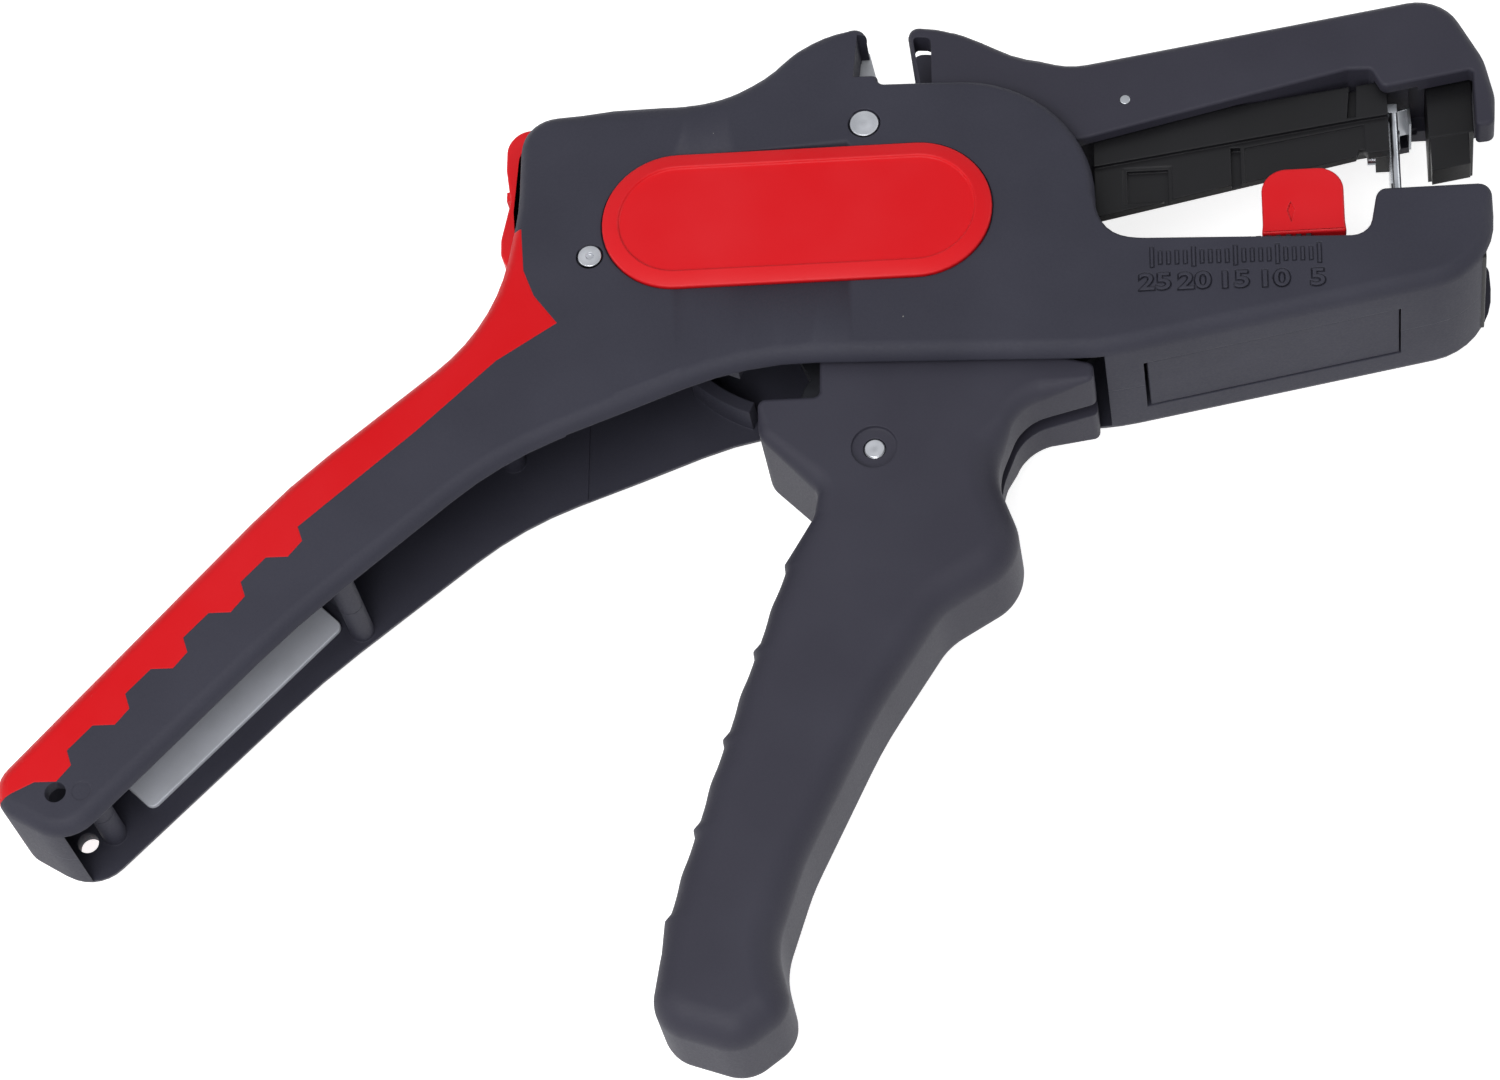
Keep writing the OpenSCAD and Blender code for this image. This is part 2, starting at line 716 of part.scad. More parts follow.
module cutter_blade() {
    z = lever_z + lever_t;
    color("#c8cbd0") placed() difference() {
        prism([
            [1, 18.6], [hump_x + 0.1, ledge_y + 0.4], [hump_x + 1.1, 19.4],
            [hump_x - 0.4, hump_y - 2.4], [hump_x - wall - 0.4, hump_y - wall - 1],
            [0.6, hump_y - 5]
        ], z, z + 0.7);
        for (p = cutter_rivet_places) bore(p, 0.62);
    }
}
module cutter_rivets() {
    color(steel) placed() for (p = cutter_rivet_places) bore(p, 0.6, lever_z, lever_z + lever_t + 0.9);
}
module cam_roller() {
    color(steel) placed() difference() {
        bore([-roller_x, roller_y], roller_r, core_z, core_z + core_t);
        bore([-roller_x, roller_y], 1.05);
    }
}
module roller_pin() {
    color(steel) placed() {
        bore([-roller_x, roller_y], 1, core_z - 0.3, lever_z + lever_t + 0.4);
        bore([-roller_x, roller_y], 1.6, core_z + core_t + 0.1, lever_z);
    }
}

// Lower carriage, drawn back by the pull bar
rod_x = carriage_front + 0.7;
rod_z = 5;
lower_low = lower_top - lower_h;
module lower_carriage() {
    notch = 4.6;
    color("#222226") placed() difference() {
        union() {
            block([lower_rear, lower_low, -lower_half], [carriage_front, lower_top, lower_half]);
            block([carriage_front - cut, lower_low, -lower_half],
                [clamp_x - 0.9, lower_top - 1.2, lower_half]);
            for (k = [0:floor(22 / rack_pitch)])
                translate([lower_rear + 1 + k * rack_pitch, lower_top - cut, lower_half - 1.5])
                    cube([rack_pitch / 2, 0.7, 1.5]);
        }
        block([lower_rear + 3, lower_low - 1, -4.5], [carriage_front - 6, lower_low + 2, 4.5]);
        block([lower_rear - 1, lower_low - 1, -1.15], [lower_rear + 11, lower_top - 1.4, 1.15]);
        block([rod_x - 3.2, lower_low - 1, rod_z - 0.9], [rod_x + 0.9, far, rod_z + 0.9]);
        block([carriage_front - cut, lower_low + 1, -blade_half - 0.1],
            [carriage_front + blade_t + 0.05, far, blade_half + 0.1]);
        for (x = bar_rivets) bore([x, lower_low + 2.6], 0.82);
        screw_holes(lower_screw_y, lower_screw_z, 4);
        for (s = [-1, 1]) translate([carriage_front + 0.5, lower_screw_y, lower_screw_z * s])
            rotate([0, 90, 0]) cylinder(r = 1.4, h = 1.2);
    }
}
bar_rivets = [lower_rear + 3, lower_rear + 8];
module pull_bar() {
    arm = 4;
    rise = link_arm * (1 - cos(link_lean));
    y = lower_low + 2.6;
    color("#8d9096") placed() difference() {
        translate([0, 0, -1]) linear_extrude(2) {
            slot_shape(link_pin_at, [20, -27], arm);
            slot_shape([20, -27], [lower_rear - 3, y - 2], 3.4);
            slot_shape([lower_rear - 3, y - 0.6], [lower_rear + 8.6, y], 1.5);
        }
        for (d = [0, -rise]) bore(link_pin_at + [0, d], link_pin_r + side_gap);
        block([link_pin_at[0] - link_pin_r - side_gap, link_pin_at[1] - rise, -2],
            [link_pin_at[0] + link_pin_r + side_gap, link_pin_at[1], 2]);
        for (x = bar_rivets) bore([x, y], 0.82);
    }
}
module pull_bar_rivets() {
    color(steel) placed() for (x = bar_rivets)
        bore([x, lower_low + 2.6], 0.8, -lower_half + 1, lower_half - 1);
}
screw_hole_r = 0.72;
screw_depth = 2.6;
module screw_holes(height, spread, length) {
    for (s = [-1, 1]) translate([carriage_front - screw_depth - 0.4, height, spread * s])
        rotate([0, 90, 0]) cylinder(r = screw_hole_r, h = length);
}
module blade_screws(height, spread) {
    for (s = [-1, 1]) translate([carriage_front - screw_depth, height, spread * s]) rotate([0, 90, 0]) {
        cylinder(r = screw_hole_r - 0.02, h = screw_depth + blade_t);
        translate([0, 0, screw_depth + blade_t]) cylinder(r = 1.2, h = 0.6);
    }
}
// Outline of a blade, from its back to the edge with the notch that grips the wire
module blade_plate(back, edge) {
    tip = edge + 1.6 * sign(back - edge);
    outline = [[-blade_half, back], [-blade_half, edge], [-2, edge], [0, tip], [2, edge],
        [blade_half, edge], [blade_half, back]];
    translate([carriage_front, 0, 0]) rotate([0, -90, 0]) mirror([0, 0, 1])
        linear_extrude(blade_t) polygon(outline);
}
module lower_blade() {
    color("#c8cbd0") placed() difference() {
        blade_plate(lower_low + 1.05, lower_top + 0.3);
        screw_holes(lower_screw_y, lower_screw_z, 6);
    }
}
lower_screw_y = lower_low + 2.4;
lower_screw_z = 2.4;
upper_screw_y = 11.4;
upper_screw_z = 2.2;
module lower_blade_screws() {
    color(steel) placed() blade_screws(lower_screw_y, lower_screw_z);
}

// Length stop: a tab beside the upper carriage and an arm across the wire's path
scale_zero = 68.1;
mark_offset = 1.7;
stop_x = scale_zero - stop_reading + mark_offset;
module length_stop() {
    z = carriage_half + side_gap;
    half = stop_w / 2;
    tab = loop_path([
        [stop_x - half, lower_top + 0.75, 0, 0],
        [stop_x + half, lower_top + 0.75, 0, 0],
        [stop_x + half, stop_top, 2.2, 0],
        [stop_x - half, stop_top, 2.2, 0]
    ]);
    color(signal_red) placed() {
        prism(flats(tab), z - 0.1, z + stop_t);
        block([stop_x - half, lower_top + 0.05, -3], [stop_x + half, lower_top + 1.4, z - 0.05]);
    }
}

// Upper jaw
ceiling_at = [36, 12.7];
function ceiling(x) = ceiling_at[1] + (x - ceiling_at[0]) * tan(jaw_travel);
jaw_corners = [
    [jaw_pin_x - 5, jaw_pin_y - 5, 4.6, 0.4],
    [jaw_pin_x + 6, jaw_pin_y - 5, 3, 0.4],
    [22, 8.2, 4, 0.4],
    [34.3, 10, 2, 0.4],
    [67.6, 18, 1, 0.5],
    [70.4, 17.9, 0.8, 0.5],
    [71.7, 15.2, 1, 0.5],
    [jaw_tip_x - 2.5, 17.1, 0.5, 0.4],
    [jaw_tip_x - 2.5, 9.1, 0.5, 0.4],
    [jaw_tip_x - 0.3, 9.3, 1, 0.6],
    [jaw_tip_x, 13.5, 6, 1.2],
    [jaw_tip_x - 1, 19, 6, 1.6],
    [jaw_tip_x - 5.6, 28.5, 6, 1.8],
    [33, 20.9, 9, 1.6],
    [19.4, 27.3, 7, 1.4],
    [13.3, 27.7, 1.2, 1],
    [14.6, 18.2, 1.5, 0.6],
    [jaw_pin_x - 5, jaw_pin_y + 5, 4.6, 0.4]
];
jaw_path = loop_path(jaw_corners);
core_z = -4.6;
core_t = 3;
module upper_jaw() {
    cheek = jaw_half - jaw_cheek;
    color(charcoal) placed() difference() {
        full_slab(jaw_path, jaw_half);
        prism([
            [17, ceiling(17)], [17, -10], [clamp_x, -10], [clamp_x, ceiling(clamp_x)]
        ], -cheek, cheek);
        block([clamp_x - 1, 0, -6.2], [jaw_tip_x - 2.5, 19.5, 6.2]);
        // The far side of the tip is open below the clamp's seat
        block([clamp_x - 1, 0, -far], [far, 17.5, 4.4]);
        block([-20, -10, -5.2], [17.01, 19, 5.2]);
        block([-20, -10, lever_z - 0.4], [26, 60, lever_z + lever_t + 1.2]);
        translate([0, 0, core_z - 0.05]) linear_extrude(core_t + 0.1)
            slot_shape(jaw_pin, core_tip, core_slot_r);
        bore(jaw_pin, jaw_pin_r + pin_gap, -jaw_half - 1, jaw_half + 1);
        bore(side_pin_at, 0.65 + pin_gap, -jaw_half - 1, jaw_half + 1);
    }
}
core_tip = [42, 16.6];
core_slot_r = 2.6;
side_pin_at = [40.3, 15.35];

// Path of the cam roller as the jaw sees it
function roller_path(s) = jaw_pin + spin(
    spin([-roller_x, roller_y], -trigger_travel * s) - jaw_pin, jaw_travel * s
);
module jaw_core_plate() {
    cam_at = roller_path(0.5);
    slot = roller_r + side_gap;
    along = unit(roller_path(1) - roller_path(0));
    color("#8d9096") placed() difference() {
        translate([0, 0, core_z]) linear_extrude(core_t) {
            intersection() {
                slot_shape(jaw_pin, core_tip, core_slot_r - 0.05);
                translate([-50, -50]) square([core_tip[0] + 49.5, 100]);
            }
            translate(jaw_pin) circle(4);
            slot_shape(jaw_pin, cam_at + [2, 1.4], 2.6);
            translate(cam_at) circle(slot + norm(roller_path(1) - roller_path(0)) / 2 + 1.8);
        }
        bore(jaw_pin, jaw_pin_r + pin_gap);
        bore(side_pin_at, 0.65 + pin_gap);
        for (s = [0, 1]) bore(roller_path(s), slot);
        prism([
            for (s = [0:0.25:1]) roller_path(s) + slot * left(along),
            for (s = [1:-0.25:0]) roller_path(s) - slot * left(along)
        ], core_z - 1, core_z + core_t + 1);
    }
}
module jaw_side_pin() {
    color(steel) placed() bore(side_pin_at, 0.65, -jaw_half + 0.5, jaw_half + 0.05);
}
module upper_clamp() {
    // Body, and the finger that comes down beside the cable
    rear = clamp_x + 1;
    front = jaw_tip_x - 2.7;
    color("#202024") placed() {
        prism([[rear, 9.6], [front, 10.2], [front, 19.4], [rear, 19.4]], -5.4, 5.4);
        prism([[rear + 0.2, 5], [front - 0.6, 5.8], [front - 0.6, 10.4], [rear + 0.2, 10.4]], 1.8, 5.3);
    }
}
module upper_carriage() {
    front = carriage_front;
    rear = carriage_rear;
    slide_top = function (x) ceiling(x) - 0.25;
    slide_t = 2.6;
    flank_t = 2;
    color("#1d1d20") placed() difference() {
        prism([
            [rear, 0.4], [68.2, 6.1], [68.9, 6.9], [69.6, 6.3], [front, 6.5],
            [front, slide_top(front)], [rear, slide_top(rear)]
        ], -carriage_half, carriage_half);
        // Only the near flank hangs down; the body behind it is a slide of even thickness
        prism([
            [rear - 1, -1], [68, -1],
            [68, slide_top(68) - slide_t], [rear - 1, slide_top(rear - 1) - slide_t]
        ], -carriage_half - 1, carriage_half - flank_t);
        for (side = [0, 1]) mirror([0, 0, side]) {
            // Step, grooves and relief pocket of a flank
            prism([
                [rear - 1, -5], [rear - 1, 7.1], [68.4, 12], [front + 1, 12.4], [front + 1, -5]
            ], carriage_half - 0.6, carriage_half + 1);
            for (x = [52.6, 65.4])
                block([x, -5, carriage_half - 1.4], [x + 0.9, 14, carriage_half + 1]);
            block([rear + 4, 2.6, carriage_half - 1.3], [rear + 9.2, 6.6, carriage_half + 1]);
        }
        screw_holes(upper_screw_y, upper_screw_z, 4);
    }
}
module upper_blade() {
    color("#c8cbd0") placed() difference() {
        blade_plate(14.4, 4.4);
        screw_holes(upper_screw_y, upper_screw_z, 6);
    }
}
module upper_blade_screws() {
    color(steel) placed() blade_screws(upper_screw_y, upper_screw_z);
}
module guide_rod() {
    color(steel) placed() {
        translate([rod_x, -1.6, rod_z]) rotate([-90, 0, 0]) cylinder(r = 0.5, h = 15);
        block([rod_x - 0.7, 13.4, rod_z - 0.5], [rod_x + 0.45, 14.6, rod_z + 0.5]);
    }
}
module blade_spring() {
    color(steel) placed() prism([
        [carriage_front + 0.02, 14.6],
        [carriage_front + 2.4, 15.2],
        [carriage_front + 2.6, 13],
        [carriage_front + 2.9, 13],
        [carriage_front + 2.8, 15.6],
        [carriage_front + 0.02, 15]
    ], -3, 3);
}

// Depth slider at the rear, with its stem through the wall
module depth_slider() {
    inside = -rear_x - 0.2;
    corner = [-rear_x + 4.6, top_y - 4.6];
    function hook(r, a) = corner + r * [cos(a), sin(a)];
    color(signal_red) placed() {
        prism([
            [inside, slider_low + 0.3],
            [inside, corner[1]],
            for (a = [168:-12:108]) hook(4.8, a),
            for (a = [112:12:172]) hook(6.2 + (a - 112) * 0.011, a),
            [inside - 2.1, corner[1] - 1],
            [inside - 1.4, 7.6],
            [inside - 1.4, 6.6],
            [inside - 2, 6.4],
            [inside - 2, 4.8],
            [inside - 1.5, 4.4],
            [inside - 1.6, 2],
            [inside - 2.3, 0],
            [inside - 2.1, -2],
            [inside - 0.8, slider_low + 0.3]
        ], -slider_half + 0.3, slider_half - 0.3);
        block([inside - cut, stem_low, -stem_half], [-rear_x + wall + 0.4, stem_low + stem_h, stem_half]);
        block([-rear_x + wall + 0.2, stem_low - 1.4, -4.4],
            [-rear_x + wall + 1.6, stem_low + stem_h + 1.4, 4.4]);
    }
}

near_shell();
far_shell();
palm_pad();
near_plate();
far_plate();
jaw_pivot_pin();
rear_pin();
trigger_pivot_pin();
handle_plate();
lower_clamp();
access_cover();
return_spring();
trigger_grip();
lever_plate();
lever_rivets();
link_pin();
cutter_blade();
cutter_rivets();
cam_roller();
roller_pin();
lower_carriage();
pull_bar();
pull_bar_rivets();
lower_blade();
lower_blade_screws();
length_stop();
upper_jaw();
jaw_core_plate();
jaw_side_pin();
upper_clamp();
upper_carriage();
upper_blade();
upper_blade_screws();
guide_rod();
blade_spring();
depth_slider();
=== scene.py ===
"""Looks of a pair of self-adjusting wire stripping pliers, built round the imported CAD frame.

Lengths in the classes are in millimetres, as on a drawing, and the mesh helpers turn them into
Blender's metres. X runs towards the tip of the jaws, Y towards the cutter hump and Z towards the
side that carries the scale.
"""

import json
import logging
import math
from collections.abc import Callable, Sequence
from dataclasses import dataclass
from enum import Enum

import bmesh
import bpy
from mathutils import Matrix, Vector


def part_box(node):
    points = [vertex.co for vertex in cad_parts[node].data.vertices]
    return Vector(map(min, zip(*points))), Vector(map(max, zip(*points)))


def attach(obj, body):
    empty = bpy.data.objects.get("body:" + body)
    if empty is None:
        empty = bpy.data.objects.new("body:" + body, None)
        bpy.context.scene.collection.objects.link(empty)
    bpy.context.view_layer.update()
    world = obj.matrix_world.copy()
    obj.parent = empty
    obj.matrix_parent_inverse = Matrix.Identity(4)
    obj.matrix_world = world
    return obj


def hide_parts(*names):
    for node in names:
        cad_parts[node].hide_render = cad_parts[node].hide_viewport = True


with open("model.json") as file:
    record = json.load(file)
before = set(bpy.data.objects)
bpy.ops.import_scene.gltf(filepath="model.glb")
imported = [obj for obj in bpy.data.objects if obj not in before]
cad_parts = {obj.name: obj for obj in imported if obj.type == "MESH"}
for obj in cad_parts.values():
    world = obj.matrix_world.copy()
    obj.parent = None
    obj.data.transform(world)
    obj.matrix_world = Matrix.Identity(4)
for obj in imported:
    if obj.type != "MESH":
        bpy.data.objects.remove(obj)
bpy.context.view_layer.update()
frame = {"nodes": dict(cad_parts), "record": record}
MM = 0.001
MID_Z = 11.8
# Smallest turn of an edge that counts as sharp, in degrees
SHARP = 38.0
# Vertices closer than this, in metres, are one
WELD = 1e-6
# A face whose normal is this close to upright is level
LEVEL = 0.99999
# Largest turn, in degrees, between two triangles of one flat face
FLAT = 0.4
# Half of a corner's angle, in degrees, from which an outline runs straight on
STRAIGHT = 89.5
# How near a vertex lies, in metres, when a cutting plane takes it as its own
ON_PLANE = 1e-7
# Radius of the small ring that closes a turned solid at its axis
TIP = 0.02
log = logging.getLogger("pliers")

Point = tuple[float, float]
Point3 = tuple[float, float, float]
# How far the hump's upper edge is drawn up, along X: fuller in front, hollower behind
HUMP: tuple[Point, ...] = (
    (-31, 0), (-27, 0.15), (-23, 0.5), (-17, 0.46), (-13.3, 0.34), (-11, 0.05), (-8.8, -0.38),
    (-7.3, -0.78), (-5.8, -1.12), (-4.3, -1.34), (-2.85, -1.29), (-1.35, -0.9), (0.15, -0.37),
    (1.65, 0.03), (3.15, 0.23), (4.65, 0.23), (6.15, 0.04), (7.0, 0),
)
# The same for the jaw's back
JAW_BACK: tuple[Point, ...] = (
    (13, 0), (15.1, 0.15), (17, 0.08), (18.9, -0.26), (20.7, -0.36), (22.6, -0.44), (24.5, -0.63),
    (26.3, -0.75), (28.2, -0.55), (30, -0.12), (31.5, 0),
)
BODY_OF = {
    node: body
    for body, nodes in frame["record"]["behaviour"]["bodies"].items()
    for node in nodes
}


class Slot(Enum):
    """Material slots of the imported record."""

    HOUSING = "housing_plastic"
    JAW = "jaw_plastic"
    TRIGGER = "trigger_plastic"
    RED = "red_plastic"
    CARRIAGE = "carriage_plastic"
    PIN = "pin_steel"
    PLATE = "plate_steel"
    BLADE = "blade_steel"
    STRIP = "handle_plate_metal"


def linear(code: str) -> tuple[float, float, float, float]:
    """Turn an sRGB hex code into a linear colour.

    Args:
        code: Six hex digits, with or without a hash sign.

    Returns:
        Red, green, blue and an alpha of one.
    """
    digits = code.lstrip("#")
    channels = [int(digits[i:i + 2], 16) / 255 for i in (0, 2, 4)]
    curved = [c / 12.92 if c <= 0.04045 else ((c + 0.055) / 1.055) ** 2.4 for c in channels]
    return (curved[0], curved[1], curved[2], 1.0)


def add_node(
    tree: bpy.types.NodeTree, kind: str, options: dict | None = None, inputs: dict | None = None
) -> bpy.types.Node:
    """Add one shader node with its settings and links.

    Args:
        tree: The node tree that the node goes into.
        kind: The node's type, without the ShaderNode prefix.
        options: Properties of the node by name.
        inputs: Input sockets by name or index; a socket as the value is linked.

    Returns:
        The new node.
    """
    node = tree.nodes.new("ShaderNode" + kind)
    for name, value in (options or {}).items():
        setattr(node, name, value)
    for name, value in (inputs or {}).items():
        if isinstance(value, bpy.types.NodeSocket):
            tree.links.new(value, node.inputs[name])
        else:
            node.inputs[name].default_value = value
    return node


def per_mm(size: float) -> float:
    """Texture scale, per metre, of a pattern whose repeat is size millimetres."""
    return 1 / (size * MM)


def new_material(name: str) -> tuple[bpy.types.Material, bpy.types.NodeTree, bpy.types.Node]:
    """Start a material.

    Args:
        name: Its name.

    Returns:
        The material, its node tree and its Principled shader.
    """
    made = bpy.data.materials.new(name)
    made.use_nodes = True
    return made, made.node_tree, made.node_tree.nodes["Principled BSDF"]


@dataclass(frozen=True)
class Moulded:
    """Injection-moulded plastic, with the grain of a spark-eroded tool.

    The eye sees a matt, slightly uneven skin and faint flow clouds. Its rounded edges are painted
    a little lighter: partly the polish of handling, partly a painted highlight along each edge.
    """

    name: str
    slot: Slot
    colour: str
    # Lighter tone that the flow clouds lean to, and that the edges are painted with as wear and
    # painted highlight
    worn: str
    roughness: float
    grain: float
    depth: float
    ior: float = 1.53
    dust: float = 0.0
    # Radius over which an edge counts as rounded, for its painted highlight and wear
    edge: float = 0.25
    cloud: float = 14.0
    specular: float = 0.25

    def material(self) -> bpy.types.Material:
        """Build the material with its grain, clouds, edges painted lighter as wear and highlight,
        and dust.

        Returns:
            The material.
        """
        made, tree, shader = new_material(self.name)
        place = add_node(tree, "TexCoord").outputs["Object"]
        grain = add_node(tree, "TexNoise", None, {
            "Vector": place, "Scale": per_mm(self.grain), "Detail": 3.0, "Roughness": 0.6,
        }).outputs["Fac"]
        cloud = add_node(tree, "TexNoise", None, {
            "Vector": place, "Scale": per_mm(self.cloud), "Detail": 2.0,
        }).outputs["Fac"]
        # Mask of rounded edges, where the bevelled normal turns from the true one: painted
        # highlight, partly wear
        rounded = add_node(tree, "Bevel", {"samples": 4}, {"Radius": self.edge * MM})
        shape = add_node(tree, "NewGeometry")
        facing = add_node(tree, "VectorMath", {"operation": "DOT_PRODUCT"}, {
            0: rounded.outputs["Normal"], 1: shape.outputs["Normal"],
        }).outputs["Value"]
        turn = add_node(tree, "Math", {"operation": "SUBTRACT"}, {0: 1.0, 1: facing}).outputs[0]
        rub_and_highlight = add_node(tree, "Math", {"operation": "MULTIPLY"}, {0: turn, 1: 5.0}).outputs[0]
        patch = add_node(tree, "TexNoise", None, {
            "Vector": place, "Scale": per_mm(5.0), "Detail": 4.0,
        }).outputs["Fac"]
        wear_and_highlight = add_node(tree, "Math", {"operation": "MULTIPLY", "use_clamp": True}, {
            0: rub_and_highlight, 1: patch,
        }).outputs[0]
        clouds = add_node(tree, "MapRange", None, {
            "Value": cloud, "From Min": 0.35, "From Max": 0.65, "To Min": 0.0, "To Max": 0.22,
        }).outputs["Result"]
        base = add_node(tree, "Mix", {"data_type": "RGBA"}, {
            "Factor": clouds, 6: linear(self.colour), 7: linear(self.worn),
        }).outputs[2]
        # Painted edge highlight, partly wear: the edges are mixed towards the lighter tone
        skin = add_node(tree, "Mix", {"data_type": "RGBA"}, {
            "Factor": wear_and_highlight, 6: base, 7: linear(self.worn),
        }).outputs[2]
        if self.dust:
            skin = self.dusty(tree, place, skin)
        tree.links.new(skin, shader.inputs["Base Color"])
        rough = add_node(tree, "MapRange", None, {
            "Value": grain, "From Min": 0.3, "From Max": 0.7,
            "To Min": self.roughness - 0.05, "To Max": self.roughness + 0.06,
        }).outputs["Result"]
        shine = add_node(tree, "Math", {"operation": "MULTIPLY_ADD"}, {
            0: wear_and_highlight, 1: -0.1, 2: rough,
        }).outputs[0]
        tree.links.new(shine, shader.inputs["Roughness"])
        bump = add_node(tree, "Bump", None, {
            "Strength": 0.5, "Distance": self.depth * MM, "Height": grain,
            "Normal": rounded.outputs["Normal"],
        }).outputs["Normal"]
        tree.links.new(bump, shader.inputs["Normal"])
        shader.inputs["IOR"].default_value = self.ior
        shader.inputs["Specular IOR Level"].default_value = self.specular
        return made

    def dusty(
        self, tree: bpy.types.NodeTree, place: bpy.types.NodeSocket, skin: bpy.types.NodeSocket
    ) -> bpy.types.NodeSocket:
        """Lay a few pale specks of dust, each about a tenth of a millimetre, on the skin.

        Args:
            tree: The material's node tree.
            place: Object coordinates.
            skin: The colour without dust.

        Returns:
            The colour with dust.
        """
        cells = add_node(tree, "TexVoronoi", None, {"Vector": place, "Scale": per_mm(2.6)})
        near = add_node(tree, "Math", {"operation": "LESS_THAN"}, {
            0: cells.outputs["Distance"], 1: 0.05,
        }).outputs[0]
        pick = add_node(tree, "SeparateColor", None, {"Color": cells.outputs["Color"]}).outputs[0]
        few = add_node(tree, "Math", {"operation": "LESS_THAN"}, {
            0: pick, 1: self.dust,
        }).outputs[0]
        both = add_node(tree, "Math", {"operation": "MULTIPLY"}, {0: near, 1: few}).outputs[0]
        speck = add_node(tree, "Math", {"operation": "MULTIPLY"}, {0: both, 1: 0.5}).outputs[0]
        return add_node(tree, "Mix", {"data_type": "RGBA"}, {
            "Factor": speck, 6: skin, 7: linear("#a8a8a4"),
        }).outputs[2]


@dataclass(frozen=True)
class Metal:
    """Bare metal, with the marks of how its surface was made.

    Stretched noise draws grinding or brushing lines, and rings round a pin's middle draw the
    marks of the lathe.
    """

    name: str
    slot: Slot
    colour: str
    stained: str
    roughness: float
    line: Point3
    depth: float
    centre: Point | None = None
    ring: float = 0.22
    metallic: float = 1.0

    def material(self) -> bpy.types.Material:
        """Build the material with its tool marks and faint stains.

        Returns:
            The material.
        """
        made, tree, shader = new_material(self.name)
        place = add_node(tree, "TexCoord").outputs["Object"]
        if self.centre is None:
            spread = add_node(tree, "Mapping", None, {
                "Vector": place, "Scale": tuple(per_mm(size) for size in self.line),
            }).outputs["Vector"]
            marks = add_node(tree, "TexNoise", None, {
                "Vector": spread, "Scale": 1.0, "Detail": 3.0,
            }).outputs["Fac"]
        else:
            offset = (-self.centre[0] * MM, -self.centre[1] * MM, 0.0)
            spread = add_node(tree, "Mapping", None, {
                "Vector": place, "Location": offset,
            }).outputs["Vector"]
            marks = add_node(tree, "TexWave", {"wave_type": "RINGS", "rings_direction": "Z"}, {
                "Vector": spread, "Scale": per_mm(self.ring) / 20, "Distortion": 0.6,
            }).outputs["Fac"]
        stain = add_node(tree, "TexNoise", None, {
            "Vector": place, "Scale": per_mm(3.0), "Detail": 5.0,
        }).outputs["Fac"]
        tint = add_node(tree, "MapRange", None, {
            "Value": stain, "From Min": 0.4, "From Max": 0.75, "To Min": 0.0, "To Max": 0.7,
        }).outputs["Result"]
        base = add_node(tree, "Mix", {"data_type": "RGBA"}, {
            "Factor": tint, 6: linear(self.colour), 7: linear(self.stained),
        }).outputs[2]
        tree.links.new(base, shader.inputs["Base Color"])
        rough = add_node(tree, "MapRange", None, {
            "Value": marks, "To Min": self.roughness - 0.08, "To Max": self.roughness + 0.12,
        }).outputs["Result"]
        tree.links.new(rough, shader.inputs["Roughness"])
        rounded = add_node(tree, "Bevel", {"samples": 4}, {"Radius": 0.08 * MM})
        bump = add_node(tree, "Bump", None, {
            "Strength": 0.4, "Distance": self.depth * MM, "Height": marks,
            "Normal": rounded.outputs["Normal"],
        }).outputs["Normal"]
        tree.links.new(bump, shader.inputs["Normal"])
        shader.inputs["Metallic"].default_value = self.metallic
        return made


# Glass-filled polyamide: hard, matt and almost black, with a violet cast under white light
HOUSING = Moulded("glass_filled_polyamide_moulded", Slot.HOUSING, "#2e2e39", "#42424e",
    roughness=0.64, grain=0.32, depth=0.035, dust=0.03)
JAW = Moulded("glass_filled_polyamide_jaw", Slot.JAW, "#2e2d38", "#41414c",
    roughness=0.6, grain=0.32, depth=0.03, dust=0.015)
# Unfilled polyamide: the same grain, a little smoother to the hand and to the eye
TRIGGER = Moulded("polyamide_satin_moulded", Slot.TRIGGER, "#2f2e39", "#42424d",
    roughness=0.6, grain=0.26, depth=0.025, dust=0.015)
# Thermoplastic elastomer over the handle: soft, matt red that takes no polish
PAD = Moulded("elastomer_red_overmoulded", Slot.RED, "#d50d16", "#dd2b33",
    roughness=0.5, grain=0.3, depth=0.02, ior=1.5, specular=0.2)
# Acetal: dense red plastic with a waxy shine
RED = Moulded("acetal_red_moulded", Slot.RED, "#dc131c", "#e53a40",
    roughness=0.38, grain=0.4, depth=0.012, ior=1.48, specular=0.25)
BLACK = Moulded("acetal_black_moulded", Slot.CARRIAGE, "#0d0d0f", "#222226",
    roughness=0.42, grain=0.35, depth=0.015, ior=1.48)
# Stamped steel, blackened in an oxide bath: a dark skin with a fine tumbled scratch
STAMPED = Metal("steel_stamped_blackened", Slot.PLATE, "#3a3b40", "#2a2b2f",
    roughness=0.5, line=(1.2, 0.5, 0.5), depth=0.01)
# Tool steel, surface-ground along the blade's width
GROUND = Metal("tool_steel_ground", Slot.BLADE, "#c4c7cc", "#9a9da2",
    roughness=0.26, line=(0.3, 0.12, 3.0), depth=0.008)
# The cutter's flank stays as it came from the grinding: pale and without a mirror's shine
CUTTER = Metal("tool_steel_rough_ground", Slot.BLADE, "#d2d5da", "#b4b7bc",
    roughness=0.5, line=(0.25, 2.0, 1.0), depth=0.01, metallic=0.25)
# Bead-blasted aluminium strip: its anodised skin scatters light like a pale matt paint
STRIP = Metal("aluminium_bead_blasted_anodised", Slot.STRIP, "#cfd2db", "#c4c7cf",
    roughness=0.55, line=(0.3, 0.3, 0.3), depth=0.006, metallic=0.1)
WIRE = Metal("spring_steel_drawn", Slot.PIN, "#a9acb1", "#7f8388",
    roughness=0.3, line=(0.6, 0.6, 0.2), depth=0.006)


